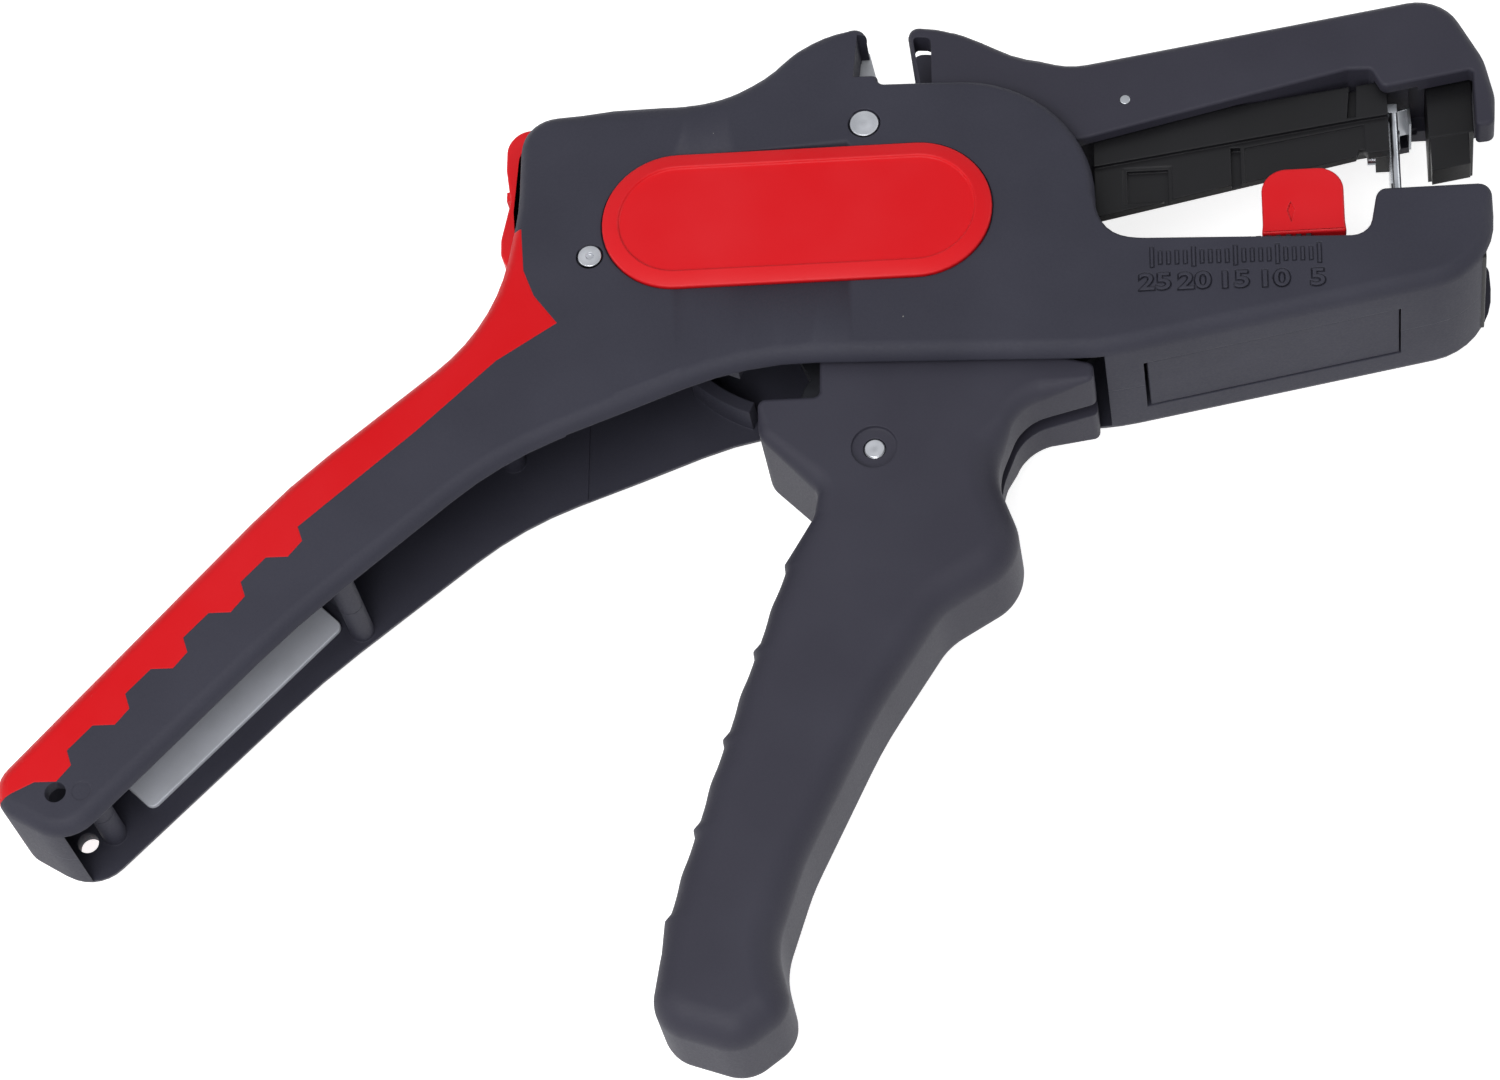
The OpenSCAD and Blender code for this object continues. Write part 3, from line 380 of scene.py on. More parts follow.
def turned(name: str, centre: Point) -> Metal:
    """Finish of a pin turned on a lathe, with rings round its middle.

    Args:
        name: The pin's name.
        centre: Where its axis stands.

    Returns:
        The finish.
    """
    return Metal("steel_turned_" + name, Slot.PIN, "#b9bbc0", "#96999e",
        roughness=0.34, line=(1, 1, 1), depth=0.01, centre=centre)


@dataclass(frozen=True)
class Corner:
    """A corner of an outline: its place, its fillet's radius and the rounding of its edge.

    A nub is a small bump that stands out of the wall and dies away over the rounded edge.
    """

    x: float
    y: float
    fillet: float = 0.0
    edge: float = 0.0
    nub: float = 0.0


def fillet_arc(before: Corner, at: Corner, after: Corner, step: float) -> list[Corner]:
    """Points of a corner's fillet.

    Args:
        before: The corner before it.
        at: The corner that is rounded.
        after: The corner after it.
        step: Largest turn between two points, in degrees.

    Returns:
        The arc's points, or the corner alone where nothing turns.
    """
    u = Vector((before.x - at.x, before.y - at.y)).normalized()
    v = Vector((after.x - at.x, after.y - at.y)).normalized()
    half = math.acos(max(-1.0, min(1.0, u.dot(v)))) / 2
    if at.fillet <= 0 or half > math.radians(STRAIGHT):
        return [at]
    middle = Vector((at.x, at.y)) + (u + v).normalized() * at.fillet / math.sin(half)
    start = Vector((at.x, at.y)) + u * at.fillet / math.tan(half) - middle
    side = -1 if u.x * v.y - u.y * v.x > 0 else 1
    sweep = side * (math.pi - 2 * half)
    count = max(3, math.ceil(abs(math.degrees(sweep)) / step))
    points = []
    for i in range(count + 1):
        spoke = start.copy()
        spoke.rotate(Matrix.Rotation(sweep * i / count, 2))
        points.append(Corner(middle.x + spoke.x, middle.y + spoke.y, 0.0, at.edge))
    return points


def outline(corners: Sequence[Corner], step: float = 5.0) -> list[Corner]:
    """Close a list of corners into one path with its fillets drawn.

    Args:
        corners: The corners, counter-clockwise.
        step: Largest turn between two points of a fillet, in degrees.

    Returns:
        The path's points.
    """
    count = len(corners)
    path: list[Corner] = []
    for i, corner in enumerate(corners):
        path += fillet_arc(corners[i - 1], corner, corners[(i + 1) % count], step)
    return path


def stadium(length: float, width: float, steps: int = 28) -> list[Corner]:
    """Oval outline with round ends, counter-clockwise.

    Args:
        length: From end to end.
        width: Across.
        steps: Points on each round end.

    Returns:
        The path's points.
    """
    radius = width / 2
    run = length / 2 - radius
    path = []
    for side in (1, -1):
        for i in range(steps + 1):
            angle = math.pi * (i / steps - 0.5) + (0 if side > 0 else math.pi)
            path.append(Corner(side * run + radius * math.cos(angle), radius * math.sin(angle)))
    return path


def miters(path: Sequence[Corner]) -> list[Vector]:
    """Find the inward direction at each point, long enough to move both of its edges by one.

    Args:
        path: The outline's points, counter-clockwise.

    Returns:
        One direction for each point.
    """
    count = len(path)
    found = []
    for i in range(count):
        here, last, next_ = path[i], path[i - 1], path[(i + 1) % count]
        a = Vector((last.y - here.y, here.x - last.x)).normalized()
        b = Vector((here.y - next_.y, next_.x - here.x)).normalized()
        found.append((a + b) / (1 + a.dot(b)))
    return found


def make_object(name: str, data: bpy.types.ID) -> bpy.types.Object:
    """Put a mesh, curve, lamp or lens into the scene as an object of its own.

    Args:
        name: The object's name.
        data: What it shows.

    Returns:
        The object.
    """
    made = bpy.data.objects.new(name, data)
    bpy.context.scene.collection.objects.link(made)
    return made


def evaluated_mesh(made: bpy.types.Object) -> bpy.types.Mesh:
    """The mesh of an object once its modifiers or curve settings are worked out."""
    graph = bpy.context.evaluated_depsgraph_get()
    return bpy.data.meshes.new_from_object(made.evaluated_get(graph))


def curve_mesh(curve: bpy.types.Curve) -> bpy.types.Mesh:
    """Turn a curve or a text into a mesh.

    Args:
        curve: The curve or the text.

    Returns:
        Its mesh, which is in no object yet.
    """
    drawn = make_object(curve.name, curve)
    mesh = evaluated_mesh(drawn)
    bpy.data.objects.remove(drawn)
    return mesh


def tube_faces(levels: int, count: int) -> list[list[int]]:
    """Faces of a stack of rings that is closed at both ends.

    Args:
        levels: How many rings there are.
        count: Points on each ring.

    Returns:
        Vertex numbers of each face, from the bottom up.
    """
    faces = [list(range(count - 1, -1, -1))]
    for k in range(levels - 1):
        for i in range(count):
            a, b = k * count + i, k * count + (i + 1) % count
            faces.append([a, b, b + count, a + count])
    faces.append(list(range((levels - 1) * count, levels * count)))
    return faces


def mesh_object(
    name: str, points: Sequence[Point3], faces: Sequence[Sequence[int]]
) -> bpy.types.Object:
    """Make an object from points in millimetres.

    Args:
        name: The object's name.
        points: Its vertices.
        faces: Vertex numbers of each face.

    Returns:
        The object, with its faces turned outwards.
    """
    mesh = bpy.data.meshes.new(name)
    mesh.from_pydata([tuple(c * MM for c in p) for p in points], [], [list(f) for f in faces])
    shape = bmesh.new()
    shape.from_mesh(mesh)
    bmesh.ops.recalc_face_normals(shape, faces=shape.faces)
    shape.to_mesh(mesh)
    shape.free()
    return make_object(name, mesh)


def stacked(
    name: str, path: Sequence[Corner], rings: Sequence[Callable[[Corner], Point]]
) -> bpy.types.Object:
    """Skin a stack of rings, each the outline moved inwards and up.

    Args:
        name: The object's name.
        path: The outline.
        rings: For each ring, a function from a point to its inset and height.

    Returns:
        The closed solid.
    """
    lean = miters(path)
    points: list[Point3] = []
    for ring in rings:
        for corner, inward in zip(path, lean):
            inset, height = ring(corner)
            points.append((corner.x + inward.x * inset, corner.y + inward.y * inset, height))
    return mesh_object(name, points, tube_faces(len(rings), len(path)))


def quarter_rings(middle: float, half: float, steps: int = 8) -> list[Callable[[Corner], Point]]:
    """Rings of a plate whose two edges are rounded by each point's own radius.

    Args:
        middle: Height of the plate's mid-plane.
        half: Half of its thickness.
        steps: Rings on each edge.

    Returns:
        Functions for stacked, from the bottom up.
    """
    def ring(side: int, turn: float) -> Callable[[Corner], Point]:
        """Place one ring on an edge.

        Args:
            side: Minus one for the lower edge and one for the upper.
            turn: Angle along the edge's quarter circle.

        Returns:
            The function for stacked.
        """
        inset, drop, stay = 1 - math.cos(turn), 1 - math.sin(turn), math.cos(turn) ** 2
        return lambda c: (
            c.edge * inset - c.nub * stay, middle + side * (half - c.edge * drop)
        )

    turns = [math.pi / 2 * i / steps for i in range(steps + 1)]
    return [ring(-1, turn) for turn in reversed(turns)] + [ring(1, turn) for turn in turns]


def straight(low: float, high: float) -> list[Callable[[Corner], Point]]:
    """Rings for stacked that extrude an outline between two heights."""
    return [lambda c: (0.0, low), lambda c: (0.0, high)]


def prism(name: str, points: Sequence[Point], low: float, high: float) -> bpy.types.Object:
    """Straight extrusion of a sharp-cornered outline between two heights."""
    return stacked(name, [Corner(*p) for p in points], straight(low, high))


def box(name: str, low: Point3, high: Point3) -> bpy.types.Object:
    """Block between two corners."""
    flat = [(low[0], low[1]), (high[0], low[1]), (high[0], high[1]), (low[0], high[1])]
    return prism(name, flat, low[2], high[2])


def lathe(
    name: str, centre: Point, profile: Sequence[Point], steps: int = 40
) -> bpy.types.Object:
    """Turn a profile round an upright axis.

    Args:
        name: The object's name.
        centre: Place of the axis.
        profile: Radius and height of each ring, from the bottom up; both ends are closed flat.
        steps: Points on each ring.

    Returns:
        The closed solid.
    """
    circle = [
        (math.cos(2 * math.pi * i / steps), math.sin(2 * math.pi * i / steps))
        for i in range(steps)
    ]
    points = [
        (centre[0] + r * c, centre[1] + r * s, z) for r, z in profile for c, s in circle
    ]
    return mesh_object(name, points, tube_faces(len(profile), steps))


def bake_modifiers(piece: bpy.types.Object) -> None:
    """Apply every modifier of an object to its mesh.

    Args:
        piece: The object.
    """
    mesh = evaluated_mesh(piece)
    piece.modifiers.clear()
    old = piece.data
    piece.data = mesh
    bpy.data.meshes.remove(old)


def combine(
    piece: bpy.types.Object, operation: str, tools: Sequence[bpy.types.Object], rough: bool = False
) -> bpy.types.Object:
    """Join solids to a piece or take them away from it, and delete them.

    Args:
        piece: The piece.
        operation: UNION or DIFFERENCE.
        tools: Closed solids.
        rough: Whether a tool's own faces may cross each other.

    Returns:
        The piece.
    """
    for tool in tools:
        step = piece.modifiers.new("combine", "BOOLEAN")
        step.object = tool
        step.operation = operation
        step.solver = "EXACT"
        step.use_self = rough
    bake_modifiers(piece)
    for tool in tools:
        bpy.data.objects.remove(tool)
    return piece


def cut(piece: bpy.types.Object, *tools: bpy.types.Object) -> bpy.types.Object:
    """Take solids away from a piece."""
    return combine(piece, "DIFFERENCE", tools)


def join(name: str, parts: Sequence[bpy.types.Object]) -> bpy.types.Object:
    """Make one object of several.

    Args:
        name: Its name.
        parts: The objects, which are deleted.

    Returns:
        The joined object.
    """
    shape = bmesh.new()
    for part in parts:
        shape.from_mesh(part.data)
        bpy.data.objects.remove(part)
    mesh = bpy.data.meshes.new(name)
    shape.to_mesh(mesh)
    shape.free()
    return make_object(name, mesh)


def round_edges(piece: bpy.types.Object, width: float, sharp: float = SHARP) -> None:
    """Round a piece's sharp edges.

    Args:
        piece: The piece.
        width: Width of the rounding, in millimetres.
        sharp: Smallest turn of an edge that counts as sharp, in degrees.
    """
    bevel = piece.modifiers.new("edges", "BEVEL")
    bevel.width = width * MM
    bevel.segments = 2
    bevel.limit_method = "ANGLE"
    bevel.angle_limit = math.radians(sharp)
    bevel.use_clamp_overlap = True
    bake_modifiers(piece)


def shade(piece: bpy.types.Object, sharp: float = SHARP) -> None:
    """Shade a piece smooth between its sharp edges, and its level faces flat.

    Args:
        piece: The piece.
        sharp: Smallest turn of an edge that counts as sharp, in degrees.
    """
    smooth = [abs(face.normal.z) < LEVEL for face in piece.data.polygons]
    piece.data.polygons.foreach_set("use_smooth", smooth)
    piece.data.set_sharp_from_angle(angle=math.radians(sharp))
    weighted = piece.modifiers.new("normals", "WEIGHTED_NORMAL")
    weighted.keep_sharp = True
    weighted.weight = 80


def heights(node: str) -> Point:
    """Lowest and highest Z of a CAD node, in millimetres."""
    low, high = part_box(node)
    return low.z / MM, high.z / MM


def copy_of(node: str) -> bpy.types.Object:
    """Copy a CAD node's mesh, with its triangles merged into flat faces.

    Args:
        node: The node's name.

    Returns:
        The copy.
    """
    shape = bmesh.new()
    shape.from_mesh(frame["nodes"][node].data)
    bmesh.ops.remove_doubles(shape, verts=shape.verts, dist=WELD)
    bmesh.ops.dissolve_limit(
        shape, angle_limit=math.radians(FLAT), verts=shape.verts, edges=shape.edges
    )
    bmesh.ops.recalc_face_normals(shape, faces=shape.faces)
    mesh = bpy.data.meshes.new(node + "_finished")
    shape.to_mesh(mesh)
    shape.free()
    return make_object(node + "_finished", mesh)


def bend(piece: bpy.types.Object, curve: Sequence[Point], free: float, full: float) -> None:
    """Draw a piece's upper edge to a softer curve.

    Args:
        piece: The piece.
        curve: Places along X and how far the edge moves up there, zero at both ends.
        free: Height in Y below which nothing moves.
        full: Height in Y from which points move by the whole amount.
    """
    shape = bmesh.new()
    shape.from_mesh(piece.data)
    for x, _ in curve:
        faces = [f for f in shape.faces if max(v.co.y for v in f.verts) > free * MM]
        edges = {e for f in faces for e in f.edges}
        points = {v for f in faces for v in f.verts}
        bmesh.ops.bisect_plane(shape, geom=[*points, *edges, *faces], dist=ON_PLANE,
            plane_co=(x * MM, 0, 0), plane_no=(1, 0, 0))
    for vert in shape.verts:
        x, y = vert.co.x / MM, vert.co.y / MM
        share = min(1.0, max(0.0, (y - free) / (full - free)))
        for (x0, up0), (x1, up1) in zip(curve, curve[1:]):
            if share > 0 and x0 <= x < x1:
                vert.co.y += (up0 + (up1 - up0) * (x - x0) / (x1 - x0)) * share * MM
                break
    shape.to_mesh(piece.data)
    shape.free()


class Finisher:
    """Gives pieces their finish and the body they ride on, and hides the CAD nodes they stand for.
    """

    def __init__(self) -> None:
        """Start with no materials made."""
        self.made: dict[str, bpy.types.Material] = {}

    def material(self, finish: Moulded | Metal) -> bpy.types.Material:
        """Find a finish's material, and make it the first time.

        Args:
            finish: The finish.

        Returns:
            Its material.
        """
        if finish.name not in self.made:
            self.made[finish.name] = finish.material()
        return self.made[finish.name]

    def paint(self, piece: bpy.types.Object, finish: Moulded | Metal) -> None:
        """Put a finish on a piece's own material slots.

        Args:
            piece: The piece.
            finish: Its finish.
        """
        material = self.material(finish)
        if not piece.material_slots:
            piece.data.materials.append(None)
        for slot in piece.material_slots:
            slot.link = "OBJECT"
            slot.material = material

    def place(
        self, piece: bpy.types.Object, finish: Moulded | Metal, body: str, *nodes: str
    ) -> bpy.types.Object:
        """Finish a new piece and let it ride.

        Args:
            piece: The piece.
            finish: Its finish.
            body: The body that it rides on.
            *nodes: The CAD nodes that it stands for.

        Returns:
            The piece.
        """
        self.paint(piece, finish)
        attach(piece, body)
        if nodes:
            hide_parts(*nodes)
            for node in nodes:
                self.paint(frame["nodes"][node], finish)
        log.info("%s rides on %s, %d faces", piece.name, body, len(piece.data.polygons))
        return piece

    def dress(
        self, node: str, finish: Moulded | Metal, width: float = 0.15, sharp: float = SHARP
    ) -> bpy.types.Object:
        """Stand a copy of a CAD node in its place, with its edges rounded.

        Args:
            node: The node's name.
            finish: The copy's finish.
            width: Width of the edge rounding.
            sharp: Smallest turn that counts as an edge, in degrees.

        Returns:
            The copy.
        """
        piece = copy_of(node)
        round_edges(piece, width, sharp)
        shade(piece, sharp)
        return self.place(piece, finish, BODY_OF[node], node)

    def dress_all(self, *rows: tuple[str, Moulded | Metal, float]) -> None:
        """Dress several nodes, each given as its name, its finish and its rounding's width."""
        for row in rows:
            self.dress(*row)


@dataclass(frozen=True)
class PhotoCamera:
    """The camera, at the photograph's angle and distance."""

    frame_px: tuple[int, int] = (1500, 1080)
    focal_px: float = 4700.0
    sensor: float = 36.0
    distance: float = 578.0
    # The object's X and Z axes as the camera sees them
    across: Point3 = (0.9925, 0.043, 0.114)
    facing: Point3 = (-0.122, 0.437, 0.891)
    # A pin's end, in the photograph and on the object
    pin_px: Point = (864, 123)
    pin_at: Point3 = (8.3, 12.6, 22.8)

    def build(self) -> None:
        """Place the camera and make it the scene's own."""
        z = Vector(self.facing).normalized()
        x = Vector(self.across)
        x = (x - z * x.dot(z)).normalized()
        turn = Matrix((x, z.cross(x), z))
        ray = Vector((
            (self.pin_px[0] - self.frame_px[0] / 2) / self.focal_px,
            (self.frame_px[1] / 2 - self.pin_px[1]) / self.focal_px,
            -1,
        ))
        place = Vector(self.pin_at) - turn @ (ray * self.distance)
        lens = bpy.data.cameras.new("photo_camera")
        lens.sensor_width = self.sensor
        lens.lens = self.focal_px * self.sensor / self.frame_px[0]
        lens.clip_start = 0.01
        camera = make_object("photo_camera", lens)
        camera.matrix_world = Matrix.Translation(place * MM) @ turn.to_4x4()
        bpy.context.scene.camera = camera


@dataclass(frozen=True)
class Studio:
    """A pale table under one large softbox, with three dim fills."""

    table: float = 4000.0
    ambient: float = 0.2
    softbox_power: float = 3.6
    fill_power: float = 0.7
    front_power: float = 0.9
    glow: float = 0.84

    def build(self) -> None:
        """Make the table, the lamps and the world."""
        scene = bpy.context.scene
        scene.view_settings.view_transform = "Standard"
        world = bpy.data.worlds.new("studio")
        world.use_nodes = True
        scene.world = world
        back = world.node_tree.nodes["Background"]
        back.inputs["Color"].default_value = linear("#f4f5f7")
        seen = self.background_rays(world.node_tree)
        strength = add_node(world.node_tree, "Math", {"operation": "MULTIPLY_ADD"}, {
            0: seen, 1: self.glow, 2: self.ambient,
        }).outputs[0]
        world.node_tree.links.new(strength, back.inputs["Strength"])
        half = self.table / 2
        floor = mesh_object("table_top", [
            (-half, -half, 0), (half, -half, 0), (half, half, 0), (-half, half, 0),
        ], [(0, 1, 2, 3)])
        floor.data.materials.append(self.table_material())
        self.lamp("softbox", (-150, -330, 660), 460, self.softbox_power)
        self.lamp("left_fill", (-620, -80, 420), 320, self.fill_power)
        self.lamp("right_fill", (560, 260, 380), 260, self.fill_power)
        self.lamp("front_fill", (40, -620, 420), 320, self.front_power)

    def table_material(self) -> bpy.types.Material:
        """Build the laminate that the camera and reflections see as the white background.

        Returns:
            The material.
        """
        made, tree, shader = new_material("laminate_white_matt")
        place = add_node(tree, "TexCoord").outputs["Object"]
        mottle = add_node(tree, "TexNoise", None, {
            "Vector": place, "Scale": per_mm(40), "Detail": 2.0,
        }).outputs["Fac"]
        white = add_node(tree, "Mix", {"data_type": "RGBA"}, {
            "Factor": mottle, 6: linear("#dcdcdc"), 7: linear("#e1e1e1"),
        }).outputs[2]
        tree.links.new(white, shader.inputs["Base Color"])
        shader.inputs["Roughness"].default_value = 0.8
        shader.inputs["Emission Color"].default_value = (1.0, 1.0, 1.0, 1.0)
        glow = add_node(tree, "Math", {"operation": "MULTIPLY"}, {
            0: self.background_rays(tree), 1: self.glow,
        }).outputs[0]
        tree.links.new(glow, shader.inputs["Emission Strength"])
        return made

    def background_rays(self, tree: bpy.types.NodeTree) -> bpy.types.NodeSocket:
        """Find the rays that show the background: to the camera, in a gloss or through glass.

        Args:
            tree: The node tree of the floor's material or of the world.

        Returns:
            A socket that is one for such a ray and zero for any other.
        """
        path = add_node(tree, "LightPath")
        seen = add_node(tree, "Math", {"operation": "MAXIMUM"}, {
            0: path.outputs["Is Camera Ray"], 1: path.outputs["Is Glossy Ray"],
        }).outputs[0]
        return add_node(tree, "Math", {"operation": "MAXIMUM"}, {
            0: seen, 1: path.outputs["Is Transmission Ray"],
        }).outputs[0]

    def lamp(self, name: str, at: Point3, size: float, power: float) -> None:
        """Hang one square lamp that faces the object.

        Args:
            name: The lamp's name.
            at: Its place.
            size: Its side.
            power: Its power in watts.
        """
        light = bpy.data.lights.new(name, "AREA")
        light.energy = power
        light.size = size * MM
        lamp = make_object(name, light)
        lamp.location = Vector(at) * MM
        lamp.rotation_euler = (-lamp.location).to_track_quat("-Z", "Y").to_euler()


@dataclass
class Housing:
    """Two moulded halves with the palm pad, label plates, scale and pins."""

    finisher: Finisher
    near_z: float = 22.8
    scale_zero: float = 68.1
    readings: tuple[int, ...] = (25, 20, 15, 10, 5)
    tick_top: float = -7.3
    tick_long: float = 2.6
    tick_short: float = 1.7
    tilt: float = -0.022
    tick_width: float = 0.3
    raised: float = 0.14
    groove: float = 0.16
    groove_depth: float = 0.16
    digit_line: float = -13.0
    digit_shift: tuple[float, ...] = (0.3, 0.0, -0.35, -0.6, -0.3)
    digit_size: float = 3.2
    digit_stretch: float = 1.25
    stroke: float = 0.03
    plate_length: float = 47.9
    plate_width: float = 18.6
    plate_seat: float = 0.72
    plate_top: float = 23.6
    plate_low: float = 21.9
    jaw_pin: Point = (8.3, 12.6)
    jaw_pin_radius: float = 1.78
    rear_pin: Point = (-25.4, -4.2)
    rear_pin_radius: float = 1.46
    # Height in Y below which the hump's bend moves nothing, and from which it moves all
    hump_y: Point = (14.9, 16.0)
    edge: float = 0.15
    seat_gap: float = 0.26
    seat_depth: float = 0.9
    ring_gap: float = 0.18
    ring_depth: float = 0.5
    # How far the cutters and the grooves' solids reach above the near face
    clear: float = 0.2
    groove_clear: float = 0.3
    scoop: tuple[Point, ...] = ((6.9, 19.3), (11, 19.3), (11, 25.4), (7.4, 25.4))
    scoop_z: Point = (15.6, 24)
    ejector_mark: Point = (-84.4, -71.9)
    ejector_radius: float = 1.2
    ejector_z: Point = (20.72, 22)
    # Where the mouth's lower edge is sloped, and how much at its ends
    saddle_x: Point = (38, 73)
    saddle_y: Point = (-6.9, 2)
    saddle_run: Point = (43.5, 67.0)
    saddle_lift: Point = (0.45, -0.7)
    saddle_ease: float = 3
    saddle_deep: float = 6
    pin_chamfer: float = 0.08
    spring_wire: float = 0.6
    spring_coil: float = 4.9
    spring_turns: int = 3

    def build(self) -> None:
        """Make and dress every piece of the housing."""
        self.finisher.dress("access_cover", HOUSING)
        self.far_shell()
        self.near_shell()
        self.finisher.dress("palm_pad", PAD)
        self.finisher.dress("far_plate", RED)
        self.finisher.dress("lower_clamp", BLACK)
        self.finisher.dress("handle_plate", STRIP)
        self.near_plate()
        self.scale_marks()
        self.pins()
        self.return_spring()

    def far_shell(self) -> None:
        """Far half, with the same soft hump as the near one."""
        piece = copy_of("far_shell")
        bend(piece, HUMP, *self.hump_y)
        round_edges(piece, self.edge)
        shade(piece)
        self.finisher.place(piece, HOUSING, "housing", "far_shell")

    def near_shell(self) -> None:
        """Near half: seats round pins and plate, the cutter's scoop and the scale's grooves."""
        top = self.near_z
        piece = copy_of("near_shell")
        bend(piece, HUMP, *self.hump_y)
        self.slope_saddle(piece)
        round_edges(piece, self.edge)
        above = top + self.clear
        seats = [
            lathe("seat", centre, [(wide, top - self.seat_depth), (wide, above)])
            for centre, wide in (
                (self.jaw_pin, self.jaw_pin_radius + self.seat_gap),
                (self.rear_pin, self.rear_pin_radius + self.seat_gap),
            )
        ]
        grow = 2 * self.ring_gap
        ring = stacked("ring", stadium(self.plate_length + grow, self.plate_width + grow),
            straight(top - self.ring_depth, above))
        scoop = prism("scoop", self.scoop, *self.scoop_z)
        ejector = lathe("ejector", self.ejector_mark,
            [(self.ejector_radius, z) for z in self.ejector_z])
        cut(piece, *seats, ring, scoop, ejector)
        grooves = join("grooves", self.marks(self.groove, top - self.groove_depth,
            top + self.groove_clear))
        combine(piece, "DIFFERENCE", [grooves], rough=True)
        shade(piece)
        self.finisher.place(piece, HOUSING, "housing", "near_shell")

    def slope_saddle(self, piece: bpy.types.Object) -> None:
        """Let the mouth's lower edge fall a little towards the tip, as the scale does.

        Args:
            piece: The near shell.
        """
        (rear, tip), (bottom, brow) = self.saddle_x, self.saddle_y
        (start, end), (rise, fall), ease = self.saddle_run, self.saddle_lift, self.saddle_ease
        for vert in piece.data.vertices:
            x, y = vert.co.x / MM, vert.co.y / MM
            if rear < x < tip and bottom < y < brow:
                along = min(1.0, max(0.0, (x - start) / (end - start)))
                share = min(1.0, max(0.0, (brow - y) / self.saddle_deep))
                share *= min(1.0, (x - rear) / ease, (tip - x) / ease)
                vert.co.y += (rise + (fall - rise) * along) * share * MM

    def near_plate(self) -> None:
        """Oval plate: a wide sloping rim with a thin crest, round a bare, sunk field."""
        path = stadium(self.plate_length, self.plate_width)
        top, low, seat = self.plate_top, self.plate_low, self.plate_seat
        profile = [
            (seat, low), (seat, top - 1.25), (0, top - 1.25), (0, top - 0.6), (0.1, top - 0.46),
            (0.9, top - 0.2), (1.75, top - 0.04), (1.9, top), (2.02, top - 0.04),
            (2.16, top - 0.3), (2.26, top - 0.34),
        ]
        rings = [lambda c, p=p: p for p in profile]
        piece = stacked("near_plate_finished", path, rings)
        shade(piece, 30)
        self.finisher.place(piece, RED, "housing", "near_plate")

    def tick(
        self, x: float, high_y: float, length: float, grow: float, low: float, high: float
    ) -> bpy.types.Object:
        """One tick of the scale, a little narrower at its top.

        Args:
            x: Its place along the scale.
            high_y: Its upper end.
            length: Its length.
            grow: How far its sides are moved out.
            low: Height of its underside.
            high: Height of its top.

        Returns:
            The solid.
        """
        w = self.tick_width / 2 + grow
        path = [
            Corner(x - w, high_y - length - grow), Corner(x + w, high_y - length - grow),
            Corner(x + w, high_y + grow), Corner(x - w, high_y + grow),
        ]
        return stacked("tick", path, [
            lambda c: (0.0, low), lambda c: (0.0, high - 0.05), lambda c: (0.04, high),
        ])

    def numeral(
        self, text: str, x: float, grow: float, low: float, high: float
    ) -> bpy.types.Object:
        """Make a plain number under a long tick.

        Args:
            text: Its digits.
            x: Its place along the scale.
            grow: How far its outline is moved out.
            low: Height of its underside.
            high: Height of its top.

        Returns:
            The solid.
        """
        curve = bpy.data.curves.new("numeral", "FONT")
        curve.body = text
        curve.align_x = "CENTER"
        curve.size = self.digit_size * MM
        curve.extrude = (high - low) / 2 * MM
        curve.offset = (self.stroke + grow) * MM
        curve.resolution_u = 5
        mesh = curve_mesh(curve)
        line = self.digit_line + self.tilt * (x - self.scale_zero + 15)
        place = Vector((x, line, (low + high) / 2)) * MM
        mesh.transform(
            Matrix.Translation(place) @ Matrix.Diagonal((self.digit_stretch, 1, 1, 1))
        )
        shape = bmesh.new()
        shape.from_mesh(mesh)
        bmesh.ops.remove_doubles(shape, verts=shape.verts, dist=WELD)
        bmesh.ops.recalc_face_normals(shape, faces=shape.faces)
        shape.to_mesh(mesh)
        shape.free()
        return make_object("numeral", mesh)

    def marks(self, grow: float, low: float, high: float) -> list[bpy.types.Object]:
        """Make the ticks, a millimetre apart, and a number at every fifth.

        Args:
            grow: How far each outline is moved out.
            low: Height of the marks' underside.
            high: Height of their top.

        Returns:
            The solids.
        """
        parts = []
        for reading in range(self.readings[-1], self.readings[0] + 1):
            x = self.scale_zero - reading
            top = self.tick_top + self.tilt * (x - self.scale_zero + 15)
            if reading in self.readings:
                shift = self.digit_shift[self.readings.index(reading)]
                parts.append(self.tick(x, top, self.tick_long, grow, low, high))
                parts.append(self.numeral(str(reading), x + shift, grow, low, high))
            else:
                parts.append(self.tick(x, top - 0.5, self.tick_short, grow, low, high))
        return parts

    def scale_marks(self) -> None:
        """The raised scale, which stands in its grooves."""
        top = self.near_z
        piece = join("scale_marks", self.marks(0.0, top - self.groove_depth - 0.02,
            top + self.raised))
        shade(piece, 40)
        self.finisher.place(piece, HOUSING, "housing")

    def pin(self, node: str, centre: Point, radius: float, dimple: float) -> None:
        """A turned pin with chamfered ends and, where it has one, a centre mark.

        Args:
            node: The CAD node that it stands for.
            centre: Place of its axis.
            radius: Its radius.
            dimple: Radius of the centre mark at each end, or zero.
        """
        low, high = heights(node)
        end = [(radius, high - self.pin_chamfer), (radius - self.pin_chamfer, high)]
        if dimple:
            end += [(dimple, high), (dimple * 0.7, high - dimple * 0.45)]
        end.append((TIP, high - dimple * 0.6))
        profile = [(r, low + high - z) for r, z in reversed(end)] + end
        piece = lathe(node + "_finished", centre, profile)
        shade(piece, 25)
        self.finisher.place(piece, turned(node, centre), BODY_OF[node], node)

    def pins(self) -> None:
        """The pins whose ends show on the housing, and the trigger's pivot."""
        self.pin("jaw_pivot_pin", self.jaw_pin, self.jaw_pin_radius, 0.0)
        self.pin("rear_pin", self.rear_pin, self.rear_pin_radius, 0.5)
        self.pin("trigger_pivot_pin", (0.0, 0.0), 2.0, 0.6)

